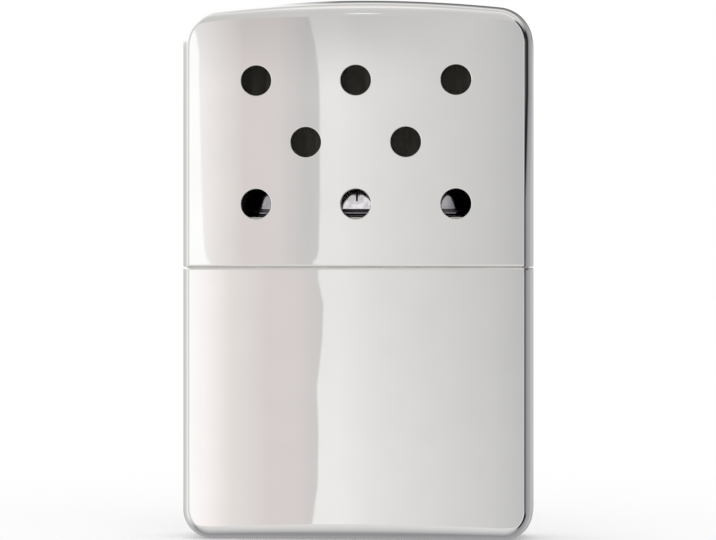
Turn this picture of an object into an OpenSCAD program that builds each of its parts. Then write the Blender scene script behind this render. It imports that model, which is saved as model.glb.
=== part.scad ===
// Pocket catalytic hand warmer. A drawn sheet-metal case in two halves: the lower one is the fuel
// tank, filled with wadding, and the upper one is a lift-off lid with air holes in its front face.
// Between them a burner is pushed onto the tank's oval neck.
// Millimetres. The case stands on its flat bottom edge at z = 0, its front face towards -Y.

/* [Case] */
// Width of the closed case
case_w = 49.6; // [46:0.1:56]
// Height of the closed case
case_h = 76.2; // [72:0.1:90]
// Depth of the closed case over the middle of its crowned faces
case_d = 13.0; // [12.6:0.1:16]
// Thickness of the case's drawn sheet
case_wall = 0.45; // [0.3:0.05:0.6]
// Radius to which the broad faces are crowned across the width
crown_r = 683; // [500:1:1500]
// Radius of the rolled edge between a broad face and the narrow sides
edge_r = 3.3; // [2.8:0.1:3.6]
// How far the rolled edge alone would stand outside the crowned face that cuts it
edge_proud = 0.4; // [0.15:0.05:0.5]
// Radius of the two upper corners, seen from the front
top_corner_r = 5.1; // [4.4:0.1:8]
// Radius of the two lower corners, seen from the front
bottom_corner_r = 4.2; // [4:0.1:8]
// Radius of the arched top
arch_r = 190; // [120:1:400]

/* [Lid] */
// Height of the seam between the tank and the lid
seam_z = 38.5; // [32:0.1:42]
// Gap between the tank's rim and the lid's rim
seam_gap = 0.15; // [0.05:0.05:0.3]
// Diameter of an air hole
hole_d = 4.2; // [3:0.1:5.5]
// Sideways distance between two holes of one row
hole_pitch_x = 14.1; // [12:0.1:15]
// Distance from one row of holes to the next
hole_pitch_z = 8.7; // [6:0.1:9.5]
// Height of the middle row above the seam
hole_mid_h = 17.6; // [16:0.1:20]

/* [Tank cap] */
// Height of the cap's deck above the seam
deck_h = 7.3; // [5:0.1:8]
// Depth to which the cap's skirt reaches below the seam
skirt_h = 4; // [2:0.1:6]
// Thickness of the cap's sheet
cap_wall = 0.4; // [0.3:0.05:0.6]
// Clearance between the cap and the case around it
cap_gap = 0.1; // [0.06:0.02:0.2]
// Radius of the bend between the deck and the skirt
deck_edge_r = 0.8; // [0.5:0.1:1.2]
// Height of the solder fillet under the skirt
solder_h = 0.5; // [0.3:0.1:1]

/* [Neck] */
// Clearance between the neck and the burner's foot at the front and back
neck_side_gap = 0.45; // [0.3:0.05:0.6]
// Clearance between the neck and the burner's foot at the ends, where the springs are
neck_end_gap = 1.45; // [1.2:0.05:2]
// Thickness of the neck's sheet
neck_wall = 0.4; // [0.3:0.05:0.5]
// Thickness of the neck's flange under the deck
neck_flange_t = 0.35; // [0.2:0.05:0.6]
// Width of the neck's flange under the deck
neck_flange_w = 1; // [0.6:0.1:1.2]
// Depth of the neck's gauze below its mouth
neck_gauze_depth = 1.5; // [1:0.1:2]

/* [Burner] */
// Width of the burner's hood at its foot
burner_w = 32.7; // [28:0.1:36]
// Depth of the burner's hood at its foot
burner_d = 9.2; // [8.8:0.1:9.6]
// Height of the burner over its flange and hood
burner_h = 8; // [7:0.1:10]
// Gap between the deck and the burner's flange
burner_gap = 0.2; // [0.1:0.05:0.3]
// Thickness of the burner's sheet
burner_sheet = 0.35; // [0.25:0.05:0.4]
// How far the flange stands out past the hood's foot
flange_lip = 0.4; // [0.2:0.05:0.6]
// Thickness of the flange
flange_t = 0.27; // [0.2:0.01:0.4]
// How far the foot's tube stands in from the hood
foot_recess = 0.6; // [0.5:0.05:0.7]
// Height of the foot's tube
foot_h = 1.6; // [1.2:0.1:2]
// Height of the hood's lower edge above the flange's underside
hood_lift = 0.7; // [0.6:0.05:0.9]
// Angle by which the hood's wall leans in, in degrees
hood_lean = 11; // [6:0.5:12]
// Width of the hood's turned-in top rim
window_rim = 1; // [0.6:0.1:1.2]
// Number of bars across the hood's window
window_bars = 4; // [2:1:6]
// Width of one bar across the hood's window
window_bar_w = 0.8; // [0.5:0.1:1.2]
// Width of the slit in the front and the back of the hood
slit_w = 0.2; // [0.15:0.05:0.5]
// Height of the slit's lower end above the flange's underside
slit_lift = 1.84; // [1.5:0.02:2.4]
// Length of the slit
slit_h = 4.3; // [2:0.1:4.4]

/* [Catalyst] */
// Thickness of the catalyst mat
mat_t = 2.4; // [1.5:0.1:2.6]
// Thickness of a wire gauze
gauze_t = 0.2; // [0.15:0.05:0.3]
// Thickness of the ring that holds the stack in the hood
ring_t = 0.3; // [0.2:0.05:0.5]
// Width of the ring that holds the stack in the hood
ring_w = 0.75; // [0.5:0.05:1]
// Clearance between two layers of the stack
stack_gap = 0.15; // [0.1:0.05:0.2]
// Clearance between the stack and the hood's wall
stack_side_gap = 0.12; // [0.08:0.02:0.2]

/* [Springs] */
// Width of a burner spring
spring_w = 2.4; // [1.6:0.1:2.6]
// Height of a burner spring
spring_h = 3; // [2.4:0.1:3.4]
// Thickness of a burner spring
spring_t = 0.2; // [0.15:0.05:0.3]
// Clearance between a spring and what it lies next to
spring_gap = 0.2; // [0.1:0.05:0.3]

/* [Wadding and felt] */
// Clearance between the wadding and the tank cap around it
wadding_gap = 0.3; // [0.2:0.05:0.5]
// Gap between two layers of the wadding
layer_gap = 0.1; // [0.05:0.05:0.2]
// Clearance around the felt in the neck
felt_gap = 0.1; // [0.05:0.05:0.2]

/* [Hidden] */
// Facets of a small round, and of the crown's great circle
$fn = 72;
crown_fn = 720;
// Overshoot of a cut, and the clearance of soldered sheets
cut = 1;
solder_gap = 0.05;
// Number of wadding layers
layers = 4;

// Rims on both sides of the seam
lid_z0 = seam_z + seam_gap / 2;
body_z1 = seam_z - seam_gap / 2;
// Centres of the upper corners and of the arch
corner_x = case_w / 2 - top_corner_r;
arch_z = case_h - arch_r;
corner_z = arch_z + sqrt(pow(arch_r - top_corner_r, 2) - pow(corner_x, 2));
// Half the angle of the arch, up to where the corners take over
arch_half = asin(corner_x / (arch_r - top_corner_r));
// A whole height for the lid's shoulders, and how far above it the corners' centres are
shoulder_z = floor(corner_z - 0.1);
corner_rise = corner_z - shoulder_z;

// Tank cap
cap_inset = case_wall + cap_gap;
cap_inside = cap_inset + cap_wall;
deck_z = seam_z + deck_h;
skirt_z = seam_z - skirt_h;

// Burner: heights from the flange up
flange_z = deck_z + burner_gap;
hood_z0 = flange_z + hood_lift;
hood_z1 = flange_z + burner_h;
// Burner: radii of its oval sections, and half the straight run between the round ends
hood_r = burner_d / 2;
burner_run = (burner_w - burner_d) / 2;
flange_r = hood_r + flange_lip;
foot_r = hood_r - foot_recess;
foot_in_r = foot_r - burner_sheet;
hood_top_r = hood_r - (hood_z1 - hood_z0) * tan(hood_lean);
hood_sheet_x = burner_sheet / cos(hood_lean);
window_r = hood_top_r - window_rim;

// Stack in the hood, from the top down
top_gauze_z = hood_z1 - burner_sheet - stack_gap - gauze_t;
mat_z = top_gauze_z - stack_gap - mat_t;
lower_gauze_z = mat_z - stack_gap - gauze_t;
ring_z = lower_gauze_z - stack_gap - ring_t;

// Neck: an oval tube inside the burner's foot
neck_r = foot_in_r - neck_side_gap;
neck_run = burner_run + neck_side_gap - neck_end_gap;
neck_z1 = ring_z - stack_gap;
neck_flange_z = deck_z - cap_wall - solder_gap - neck_flange_t;
neck_gauze_z = neck_z1 - neck_gauze_depth;

// Wadding: flat layers that pass the cap's skirt, and keep clear of the crown and the rolled edge
wadding_inset = cap_inside + wadding_gap;
wadding_z1 = neck_flange_z - wadding_gap;
crown_fall = crown_r - sqrt(pow(crown_r, 2) - pow(case_w / 2, 2));
wadding_d = case_d - 2 * (wadding_inset + crown_fall);
layer_t = (wadding_d - (layers - 1) * layer_gap) / layers;
wadding_edge = edge_r - sqrt(pow(edge_r - wadding_inset, 2)
  - pow(edge_r - edge_proud - wadding_inset - crown_fall, 2));

// Radius of the hood's inner wall at a height
function hood_inside(z) = hood_r - hood_sheet_x - (z - hood_z0) * tan(hood_lean);

// ---- Forms of the case ----

// The lens between the two crowned faces, seen from above
module crown_lens(inset) {
  intersection() {
    translate([0, crown_r - case_d / 2]) circle(r = crown_r - inset, $fn = crown_fn);
    translate([0, case_d / 2 - crown_r]) circle(r = crown_r - inset, $fn = crown_fn);
  }
}

// Half a section through the rolled edge, from x = 0 out to reach
module edge_section(reach, inset) {
  r = edge_r - inset;
  flat = case_d / 2 + edge_proud - edge_r;
  translate([0, -flat - r]) square([reach - r, 2 * (flat + r)]);
  translate([0, -flat]) square([reach, 2 * flat]);
  intersection() {
    union() {
      translate([reach - r, flat]) circle(r = r);
      translate([reach - r, -flat]) circle(r = r);
    }
    translate([0, -flat - r]) square([reach, 2 * (flat + r)]);
  }
}

// The case seen from above: a rounded oblong between the two crowned faces
module case_plan(inset) {
  intersection() {
    union() {
      edge_section(case_w / 2 - inset, inset);
      mirror([1, 0]) edge_section(case_w / 2 - inset, inset);
    }
    crown_lens(inset);
  }
}

// A sector of the rolled edge, turned about a front-to-back axis, from one angle to another
module edge_sector(reach, inset, from, to) {
  rotate([90, 0, 0])
    rotate_extrude(angle = to - from, start = from)
      edge_section(reach, inset);
}

// The case's straight part between two heights
module case_trunk(inset, z0, z1) {
  translate([0, 0, z0]) linear_extrude(z1 - z0) case_plan(inset);
}

// The case's rounded foot, up to the centres of its lower corners
module case_foot(inset) {
  corner = case_w / 2 - bottom_corner_r;
  intersection() {
    translate([0, 0, bottom_corner_r]) {
      translate([-corner, 0, 0]) edge_sector(bottom_corner_r - inset, inset, 180, 270);
      translate([corner, 0, 0]) edge_sector(bottom_corner_r - inset, inset, 270, 360);
      translate([-corner, 0, 0])
        rotate([0, 90, 0])
          linear_extrude(2 * corner)
            edge_section(bottom_corner_r - inset, inset);
    }
    linear_extrude(bottom_corner_r) crown_lens(inset);
  }
}

// The lid's arched head, above its shoulders
module case_head(inset) {
  intersection() {
    union() {
      head_arch(inset);
      for (side = [-1, 1]) head_corner(side, inset);
      translate([0, 0, shoulder_z])
        linear_extrude(corner_rise) {
          edge_section(case_w / 2 - inset, inset);
          mirror([1, 0]) edge_section(case_w / 2 - inset, inset);
        }
    }
    translate([0, 0, shoulder_z]) linear_extrude(case_h - shoulder_z) crown_lens(inset);
  }
}

// One upper corner, up to where the arch takes over
module head_corner(side, inset) {
  intersection() {
    at_corner(side)
      edge_sector(top_corner_r - inset, inset, side > 0 ? 0 : 90, side > 0 ? 90 : 180);
    outside_arch(side);
  }
}

// The arch between the upper corners: a band of the rolled edge, reaching down past the shoulders
module head_arch(inset) {
  difference() {
    translate([0, 0, arch_z])
      edge_sector(arch_r - inset, inset, 90 - arch_half - cut, 90 + arch_half + cut);
    for (side = [-1, 1]) outside_arch(side);
    translate([0, case_d, arch_z])
      rotate([90, 0, 0])
        cylinder(r = shoulder_z - arch_z - cut, h = 2 * case_d);
  }
}

// Everything on the outer side of the plane that parts a corner from the arch
module outside_arch(side) {
  reach = 2 * top_corner_r;
  at_corner(side)
    rotate([0, side * arch_half, 0])
      translate([side > 0 ? 0 : -reach, -case_d, -reach])
        cube([reach, 2 * case_d, 2 * reach]);
}

// Moves a form to the centre of an upper corner, in two steps that keep its height exact
module at_corner(side) {
  translate([side * corner_x, 0, shoulder_z]) translate([0, 0, corner_rise]) children();
}

// ---- Oval forms ----

// An oval: two half rounds with a straight run between them
module oval(r, run) {
  translate([-run, 0]) circle(r = r);
  translate([run, 0]) circle(r = r);
  square([2 * run, 2 * r], center = true);
}

// A section carried round an oval: x is its distance from the oval's middle line, y its height
module round_oval(run) {
  for (turn = [0, 180])
    rotate([0, 0, turn]) {
      translate([run, 0, 0]) rotate_extrude(angle = 180, start = -90) children();
      translate([-run, 0, 0]) rotate([90, 0, 90]) linear_extrude(2 * run) children();
    }
}

// A flat oval plate
module oval_plate(r, run, z, t) {
  translate([0, 0, z]) linear_extrude(t) oval(r, run);
}

// ---- Case and tank ----

module lid_shell() {
  color("#d8d7d5")
    difference() {
      union() {
        case_head(0);
        case_trunk(0, lid_z0, shoulder_z);
      }
      union() {
        case_head(case_wall);
        case_trunk(case_wall, lid_z0 - cut, shoulder_z);
      }
      air_holes();
    }
}

// The air holes: rows of three, two and three through the lid's front wall
module air_holes() {
  for (row = [-1, 0, 1], column = row == 0 ? [-0.5, 0.5] : [-1, 0, 1])
    translate([
      column * hole_pitch_x,
      -case_d / 2 - cut,
      seam_z + hole_mid_h + row * hole_pitch_z
    ])
      rotate([-90, 0, 0])
        cylinder(d = hole_d, h = cut + case_d / 4);
}

module body_shell() {
  color("#dbdad8")
    difference() {
      tank_form(0, body_z1);
      tank_form(case_wall, body_z1 + cut);
    }
}

// The tank's outer form, inset all round, up to a height
module tank_form(inset, top) {
  case_foot(inset);
  case_trunk(inset, bottom_corner_r, top);
}

// The cap closes the tank: its skirt is soldered inside the tank and its collar carries the lid
module tank_cap() {
  color("#b9b8b6")
    difference() {
      intersection() {
        case_trunk(cap_inset, skirt_z, deck_z);
        deck_bend();
      }
      case_trunk(cap_inside, skirt_z - cut, deck_z - cap_wall);
      oval_plate(neck_r + solder_gap, neck_run, deck_z - cap_wall - cut, cap_wall + 2 * cut);
    }
}

// The bend round the deck: one block rounded along the width, another along the depth
module deck_bend() {
  half_w = case_w / 2 - cap_inset;
  half_d = case_d / 2 - cap_inset + solder_gap;
  intersection() {
    translate([0, half_d + cut, 0])
      rotate([90, 0, 0])
        linear_extrude(2 * (half_d + cut))
          bend_section(half_w);
    translate([-half_w - cut, 0, 0])
      rotate([90, 0, 90])
        linear_extrude(2 * (half_w + cut))
          bend_section(half_d);
  }
}

// A block seen from the end, rounded at its two upper corners
module bend_section(half) {
  translate([-half, skirt_z]) square([2 * half, deck_z - deck_edge_r - skirt_z]);
  translate([-half + deck_edge_r, skirt_z]) square([2 * (half - deck_edge_r), deck_z - skirt_z]);
  for (side = [-1, 1])
    translate([side * (half - deck_edge_r), deck_z - deck_edge_r])
      circle(r = deck_edge_r);
}

module tank_solder_ring() {
  color("#9c9a97")
    translate([0, 0, skirt_z - solder_gap - solder_h])
      linear_extrude(solder_h)
        difference() {
          case_plan(case_wall + solder_gap);
          case_plan(cap_inside);
        }
}

// ---- Neck ----

module neck() {
  color("#b08d4f")
    round_oval(neck_run)
      polygon([
        [neck_r - neck_wall, neck_flange_z],
        [neck_r + neck_flange_w, neck_flange_z],
        [neck_r + neck_flange_w, neck_flange_z + neck_flange_t],
        [neck_r, neck_flange_z + neck_flange_t],
        [neck_r, neck_z1],
        [neck_r - neck_wall, neck_z1]
      ]);
}

module neck_gauze() {
  color("#8f8c86")
    oval_plate(neck_r - neck_wall - felt_gap, neck_run, neck_gauze_z, gauze_t);
}

module neck_felt() {
  color("#e3dfd4")
    oval_plate(neck_r - neck_wall - felt_gap, neck_run, wadding_z1 + felt_gap,
      neck_gauze_z - wadding_z1 - 2 * felt_gap);
}

// ---- Wadding ----

// A wadding layer seen from the front, with round lower corners
module wadding_outline() {
  half_w = case_w / 2 - wadding_edge;
  corner = bottom_corner_r - wadding_edge;
  translate([-half_w, bottom_corner_r]) square([2 * half_w, wadding_z1 - bottom_corner_r]);
  translate([-half_w + corner, wadding_edge])
    square([2 * (half_w - corner), wadding_z1 - wadding_edge]);
  for (side = [-1, 1])
    translate([side * (half_w - corner), bottom_corner_r]) circle(r = corner);
}

// One layer of the wadding, counted from the front
module wadding(layer) {
  color("#efece4")
    translate([0, -wadding_d / 2 + layer * (layer_t + layer_gap) + layer_t, 0])
      rotate([90, 0, 0])
        linear_extrude(layer_t)
          wadding_outline();
}

// ---- Burner ----

module burner_base() {
  color("#a9a8a6")
    round_oval(burner_run)
      polygon([
        [foot_in_r, flange_z],
        [flange_r, flange_z],
        [flange_r, flange_z + flange_t],
        [foot_r, flange_z + flange_t],
        [foot_r, flange_z + foot_h],
        [foot_in_r, flange_z + foot_h]
      ]);
}

module burner_hood() {
  color("#b4b3b1")
    difference() {
      union() {
        round_oval(burner_run)
          polygon([
            [hood_r - hood_sheet_x, hood_z0],
            [hood_r, hood_z0],
            [hood_top_r, hood_z1],
            [window_r, hood_z1],
            [window_r, hood_z1 - burner_sheet],
            [hood_inside(hood_z1 - burner_sheet), hood_z1 - burner_sheet]
          ]);
        window_grid();
      }
      translate([-slit_w / 2, -burner_d, flange_z + slit_lift])
        cube([slit_w, 2 * burner_d, slit_h]);
    }
}

// The bars across the window, evenly spaced over its width
module window_grid() {
  reach = burner_run + window_r;
  pitch = 2 * reach / (window_bars + 1);
  half_d = window_r + window_rim / 2;
  for (bar = [1:window_bars])
    translate([-reach + bar * pitch - window_bar_w / 2, -half_d, hood_z1 - burner_sheet])
      cube([window_bar_w, 2 * half_d, burner_sheet]);
}

module burner_top_gauze() {
  color("#8f8c86")
    oval_plate(hood_inside(top_gauze_z + gauze_t) - stack_side_gap, burner_run,
      top_gauze_z, gauze_t);
}

module catalyst_mat() {
  color("#cfcac0")
    oval_plate(hood_inside(mat_z + mat_t) - stack_side_gap, burner_run, mat_z, mat_t);
}

module burner_lower_gauze() {
  color("#8f8c86")
    oval_plate(hood_inside(lower_gauze_z + gauze_t) - stack_side_gap, burner_run,
      lower_gauze_z, gauze_t);
}

module burner_retaining_ring() {
  outer = hood_inside(ring_z + ring_t) - stack_side_gap;
  color("#9f9d9a")
    round_oval(burner_run)
      translate([outer - ring_w, ring_z]) square([ring_w, ring_t]);
}

// A bowed leaf between the foot's tube and the neck's end, at the right-hand end
module burner_spring() {
  back_x = burner_run + sqrt(pow(foot_in_r, 2) - pow(spring_w / 2, 2)) - spring_gap / 2;
  front_x = neck_run + neck_r + spring_gap;
  bow = back_x - front_x;
  bow_r = pow(spring_h, 2) / (8 * bow) + bow / 2;
  translate([front_x + bow_r, spring_w / 2, flange_z + flange_t + spring_h / 2])
    rotate([90, 0, 0])
      linear_extrude(spring_w)
        intersection() {
          difference() {
            circle(r = bow_r);
            circle(r = bow_r - spring_t);
          }
          translate([-bow_r - cut, -spring_h / 2]) square([bow + cut, spring_h]);
        }
}

module burner_clip_left() {
  color("#b08d4f") mirror([1, 0, 0]) burner_spring();
}

module burner_clip_right() {
  color("#b08d4f") burner_spring();
}

lid_shell();
body_shell();
tank_cap();
tank_solder_ring();
neck();
neck_gauze();
neck_felt();
wadding(0);  // wadding_front
wadding(1);  // wadding_core_front
wadding(2);  // wadding_core_back
wadding(3);  // wadding_back
burner_base();
burner_hood();
burner_top_gauze();
catalyst_mat();
burner_lower_gauze();
burner_retaining_ring();
burner_clip_left();
burner_clip_right();
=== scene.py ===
"""Looks of a pocket catalytic hand warmer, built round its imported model.

The case is drawn and chrome-plated sheet: a fuel tank below, a pierced lift-off lid above, and a
burner of stamped steel between them. Every new piece is a surface worked out with numpy. Lengths
are in millimetres until a mesh is made. +Z is up, and the face with the air holes looks to -Y.
"""

import logging
import math
from dataclasses import dataclass
from enum import Enum
from typing import Mapping, Optional, Sequence, Union

import bmesh
import bpy
import numpy as np
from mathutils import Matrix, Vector


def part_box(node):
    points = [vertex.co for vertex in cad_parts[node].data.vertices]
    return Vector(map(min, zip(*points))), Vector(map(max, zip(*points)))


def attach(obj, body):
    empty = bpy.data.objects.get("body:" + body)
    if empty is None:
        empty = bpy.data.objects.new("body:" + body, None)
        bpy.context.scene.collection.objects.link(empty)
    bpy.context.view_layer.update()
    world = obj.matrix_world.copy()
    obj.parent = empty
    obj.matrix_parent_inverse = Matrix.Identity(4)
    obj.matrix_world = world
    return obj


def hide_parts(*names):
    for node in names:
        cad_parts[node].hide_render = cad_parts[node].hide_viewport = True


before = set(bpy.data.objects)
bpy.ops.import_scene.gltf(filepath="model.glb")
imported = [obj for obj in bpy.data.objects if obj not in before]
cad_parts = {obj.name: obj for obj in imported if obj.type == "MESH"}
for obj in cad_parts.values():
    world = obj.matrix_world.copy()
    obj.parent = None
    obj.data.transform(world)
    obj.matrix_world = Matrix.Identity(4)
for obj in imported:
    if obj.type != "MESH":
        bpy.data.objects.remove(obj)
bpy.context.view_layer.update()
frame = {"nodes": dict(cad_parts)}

Array = np.ndarray
Tree = bpy.types.NodeTree
Socket = bpy.types.NodeSocket
Link = Union[float, Sequence[float], Socket]
Stops = Sequence[tuple[float, str]]
Band = tuple[float, float, float, float]
Change = tuple[float, float, float, float]
Line = Sequence[tuple[float, float]]
Ramp = Sequence[tuple[float, "Tone"]]

log = logging.getLogger("hand_warmer")

MM = 0.001  # metres in a millimetre
WELD = 2e-4  # points closer than this, in mm, are one point
WELD_SHIFT = 0.317  # keeps round numbers away from the weld's own rounding steps


class Body(Enum):
    """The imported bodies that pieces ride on."""

    TANK = "tank"
    BURNER = "burner"
    LID = "lid"


class Slot(Enum):
    """The record's material slots."""

    CHROME = "polished_chrome"
    SATIN = "satin_plate"
    SOLDER = "solder"
    BRASS = "brass_sheet"
    GAUZE = "wire_gauze"
    FELT = "felt"
    WADDING = "wadding"
    STEEL = "burner_steel"
    CATALYST = "catalyst_fibre"


# ---- Node and colour helpers ----


def linear(colour: str) -> tuple[float, float, float, float]:
    """Turns an sRGB hex colour to linear light.

    A channel c becomes c / 12.92 up to 0.04045, and ((c + 0.055) / 1.055) to the power 2.4 above.

    Args:
        colour: six hex digits after a #.

    Returns:
        Red, green, blue and an alpha of 1.
    """
    channels = np.array([int(colour[i : i + 2], 16) for i in (1, 3, 5)]) / 255
    low, high = channels / 12.92, ((channels + 0.055) / 1.055) ** 2.4
    return (*np.where(channels <= 0.04045, low, high).tolist(), 1.0)


def add_node(
    tree: Tree,
    kind: str,
    inputs: Union[Mapping[str, Link], Sequence[Link]] = (),
    stops: Stops = (),
    out: Union[int, str] = 0,
    **settings: object,
) -> Optional[Socket]:
    """Adds a node to a tree with its settings, values and links.

    Args:
        tree: the node tree.
        kind: the node's type name after ShaderNode.
        inputs: values, or outputs that feed them, by socket name or in the sockets' order.
        stops: places and hex colours along a colour ramp.
        out: name or number of the output to hand back.
        settings: the node's own properties.

    Returns:
        The output, or None where the node has none.
    """
    node = tree.nodes.new("ShaderNode" + kind)
    for key, value in settings.items():
        setattr(node, key, value)
    for key, value in inputs.items() if isinstance(inputs, Mapping) else enumerate(inputs):
        if isinstance(value, Socket):
            tree.links.new(value, node.inputs[key])
        else:
            node.inputs[key].default_value = value
    for number, (place, colour) in enumerate(stops):
        ramp = node.color_ramp.elements
        stop = ramp[number] if number < 2 else ramp.new(place)
        stop.position, stop.color = place, linear(colour)
    return node.outputs[out] if node.outputs else None


# ---- Surfaces ----


class Skin:
    """Grids of points, gathered and welded into one mesh."""

    def __init__(self) -> None:
        """Starts with no grids."""
        self._points: list[Array] = []
        self._cells: list[Array] = []
        self._slots: list[Array] = []
        self._count = 0

    def add(
        self, grid: Array, slot: int = 0, around: bool = False, keep: Optional[Array] = None
    ) -> None:
        """Adds a grid, or several of one size.

        Args:
            grid: points of shape (..., rows, columns, 3), in mm.
            slot: number of the material slot.
            around: the last column joins the first.
            keep: which cells of a single grid are there, or None for all.
        """
        rows, columns = grid.shape[-3:-1]
        index = self._count + np.arange(grid.size // 3).reshape(-1, rows, columns)
        if around:
            index = np.concatenate([index, index[:, :, :1]], axis=2)
        corners = [index[:, :-1, :-1], index[:, 1:, :-1], index[:, 1:, 1:], index[:, :-1, 1:]]
        cells = np.stack(corners, axis=-1)
        cells = cells.reshape(-1, 4) if keep is None else cells[0][keep]
        self._points.append(grid.reshape(-1, 3))
        self._cells.append(cells)
        self._slots.append(np.full(len(cells), slot))
        self._count += grid.size // 3

    def weld(self) -> tuple[Array, Array, Array, Array]:
        """Joins points that lie at one place, and turns cells with a closed side to triangles.

        Returns:
            The points, the four-sided faces, the triangles, and the slot of each face in turn.
        """
        points, cells = np.concatenate(self._points), np.concatenate(self._cells)
        keys = np.round(points / WELD + WELD_SHIFT).astype(np.int64)
        _, first, place = np.unique(keys, axis=0, return_index=True, return_inverse=True)
        cells, slots = place.reshape(-1)[cells], np.concatenate(self._slots)
        closed = cells == np.roll(cells, -1, axis=1)
        whole, thin = closed.sum(1) == 0, closed.sum(1) == 1
        quads = cells[whole]
        triangles = cells[thin][~closed[thin]].reshape(-1, 3)
        used, where = np.unique(np.concatenate([quads.ravel(), triangles.ravel()]), return_inverse=True)
        where = where.reshape(-1)
        quads = where[: quads.size].reshape(-1, 4)
        triangles = where[quads.size :].reshape(-1, 3)
        return points[first[used]], quads, triangles, np.concatenate([slots[whole], slots[thin]])

    def build(self, name: str, forms: Sequence["CaseForm"] = (), weigh: bool = True) -> bpy.types.Object:
        """Makes the object, with its faces turned outwards and its normals weighed by area.

        A point's normal is the sum of its faces' normals, each as long as its face is large, so a
        flat face stays flat up to its rounded edge. Where a point lies on a crowned face of the
        case, it is the crown's own.

        Args:
            name: the object's name.
            forms: the case form whose crowned faces the points may lie on.
            weigh: whether to set the normals; modifiers that add faces go without.

        Returns:
            The object, at the origin.
        """
        points, quads, triangles, slots = self.weld()
        mesh = bpy.data.meshes.new(name)
        mesh.from_pydata((points * MM).tolist(), [], quads.tolist() + triangles.tolist())
        work = bmesh.new()
        work.from_mesh(mesh)
        bmesh.ops.recalc_face_normals(work, faces=work.faces)
        work.to_mesh(mesh)
        work.free()
        mesh.polygons.foreach_set("material_index", slots.astype(np.int32))
        mesh.polygons.foreach_set("use_smooth", np.ones(len(slots), bool))
        if weigh:
            loops = np.zeros(len(mesh.loops), np.int32)
            mesh.loops.foreach_get("vertex_index", loops)
            thin = loops[quads.size :].reshape(-1, 3)
            faces = np.concatenate([loops[: quads.size].reshape(-1, 4), thin[:, [0, 1, 2, 2]]])
            corner = points[faces]
            areas = np.cross(corner[:, 2] - corner[:, 0], corner[:, 3] - corner[:, 1])
            normals = np.zeros_like(points)
            sides = np.concatenate([faces[:, :3].ravel(), faces[: len(quads), 3]])
            shares = np.concatenate([np.repeat(areas, 3, axis=0), areas[: len(quads)]])
            np.add.at(normals, sides, shares)
            for form in forms:
                on_face = np.abs(np.abs(points[:, 1]) - form.crown(points[:, 0])) < 1e-6
                normals[on_face] = form.crown_normal(points[on_face])
            normals /= np.maximum(np.linalg.norm(normals, axis=1, keepdims=True), 1e-12)
            mesh.normals_split_custom_set_from_vertices(normals.tolist())
        made = bpy.data.objects.new(name, mesh)
        bpy.context.scene.collection.objects.link(made)
        return made


def soften(corners: Array, radius: float, steps: int = 3) -> Array:
    """Rounds the corners of a closed outline.

    Each corner becomes a quadratic curve that leaves its two sides at the radius from the corner,
    or at 0.4 of a side that is shorter, and has the corner as its control point.

    Args:
        corners: the outline's corners, shape (corners, 2).
        radius: how far from a corner the rounding starts.
        steps: pieces of each curve.

    Returns:
        The closed outline's points, with the first repeated at the end.
    """
    ends = []
    for turn in (1, -1):
        side = np.roll(corners, turn, axis=0) - corners
        length = np.linalg.norm(side, axis=1, keepdims=True)
        ends.append(corners + side / length * np.minimum(radius, 0.4 * length))
    t = np.linspace(0, 1, steps + 1)[None, :, None]
    curve = (1 - t) ** 2 * ends[0][:, None] + 2 * t * (1 - t) * corners[:, None]
    curve = (curve + t**2 * ends[1][:, None]).reshape(-1, 2)
    return np.concatenate([curve, curve[:1]])


def lumps(points: Array, size: float, depth: float, seed: int) -> Array:
    """Uneven height of matted fibres.

    It is the sum of ten sine waves of random directions and phases, whose wavelengths lie near one
    size, over the root of ten.

    Args:
        points: points of any shape (..., 3).
        size: mean wavelength in mm.
        depth: root of the mean square height, in mm, times the root of two.
        seed: start of the random draws.

    Returns:
        A height for each point.
    """
    random = np.random.default_rng(seed)
    waves = random.normal(size=(10, 3))
    waves *= 2 * np.pi / size / np.linalg.norm(waves, axis=1, keepdims=True)
    waves *= random.uniform(0.6, 1.6, (10, 1))
    return depth * np.sin(points @ waves.T + random.uniform(0, 2 * np.pi, 10)).sum(-1) / math.sqrt(10)


@dataclass(frozen=True)
class Edge:
    """Stations along an outline in the case's middle plane: places, and outward directions."""

    x: Array
    z: Array
    nx: Array
    nz: Array

    @staticmethod
    def arc(x: float, z: float, radius: float, start: float, stop: float, steps: int) -> "Edge":
        """Stations on an arc: (x, z) plus the radius times the cosine and sine of the angle.

        Args:
            x: the centre across.
            z: the centre's height.
            radius: the arc's radius.
            start: first angle in degrees.
            stop: last angle in degrees.
            steps: pieces of the arc.

        Returns:
            The arc.
        """
        turn = np.radians(np.linspace(start, stop, steps + 1))
        nx, nz = np.cos(turn), np.sin(turn)
        return Edge(x + radius * nx, z + radius * nz, nx, nz)

    @staticmethod
    def line(start: Sequence[float], stop: Sequence[float], out: Sequence[float], steps: int) -> "Edge":
        """Stations on a straight line: the first place plus a share of the way to the last.

        Args:
            start: first place.
            stop: last place.
            out: the outward direction of all stations.
            steps: pieces of the line.

        Returns:
            The line.
        """
        t = np.linspace(0, 1, steps + 1)
        x, z = (start[i] + (stop[i] - start[i]) * t for i in (0, 1))
        return Edge(x, z, np.full_like(t, out[0]), np.full_like(t, out[1]))

    @staticmethod
    def chain(edges: Sequence["Edge"]) -> "Edge":
        """Joins edges end to end, with each shared station once.

        Args:
            edges: the edges in order.

        Returns:
            One edge.
        """
        parts = [
            np.concatenate([getattr(e, key)[: -1 if e is not edges[-1] else None] for e in edges])
            for key in ("x", "z", "nx", "nz")
        ]
        return Edge(*parts)


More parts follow.
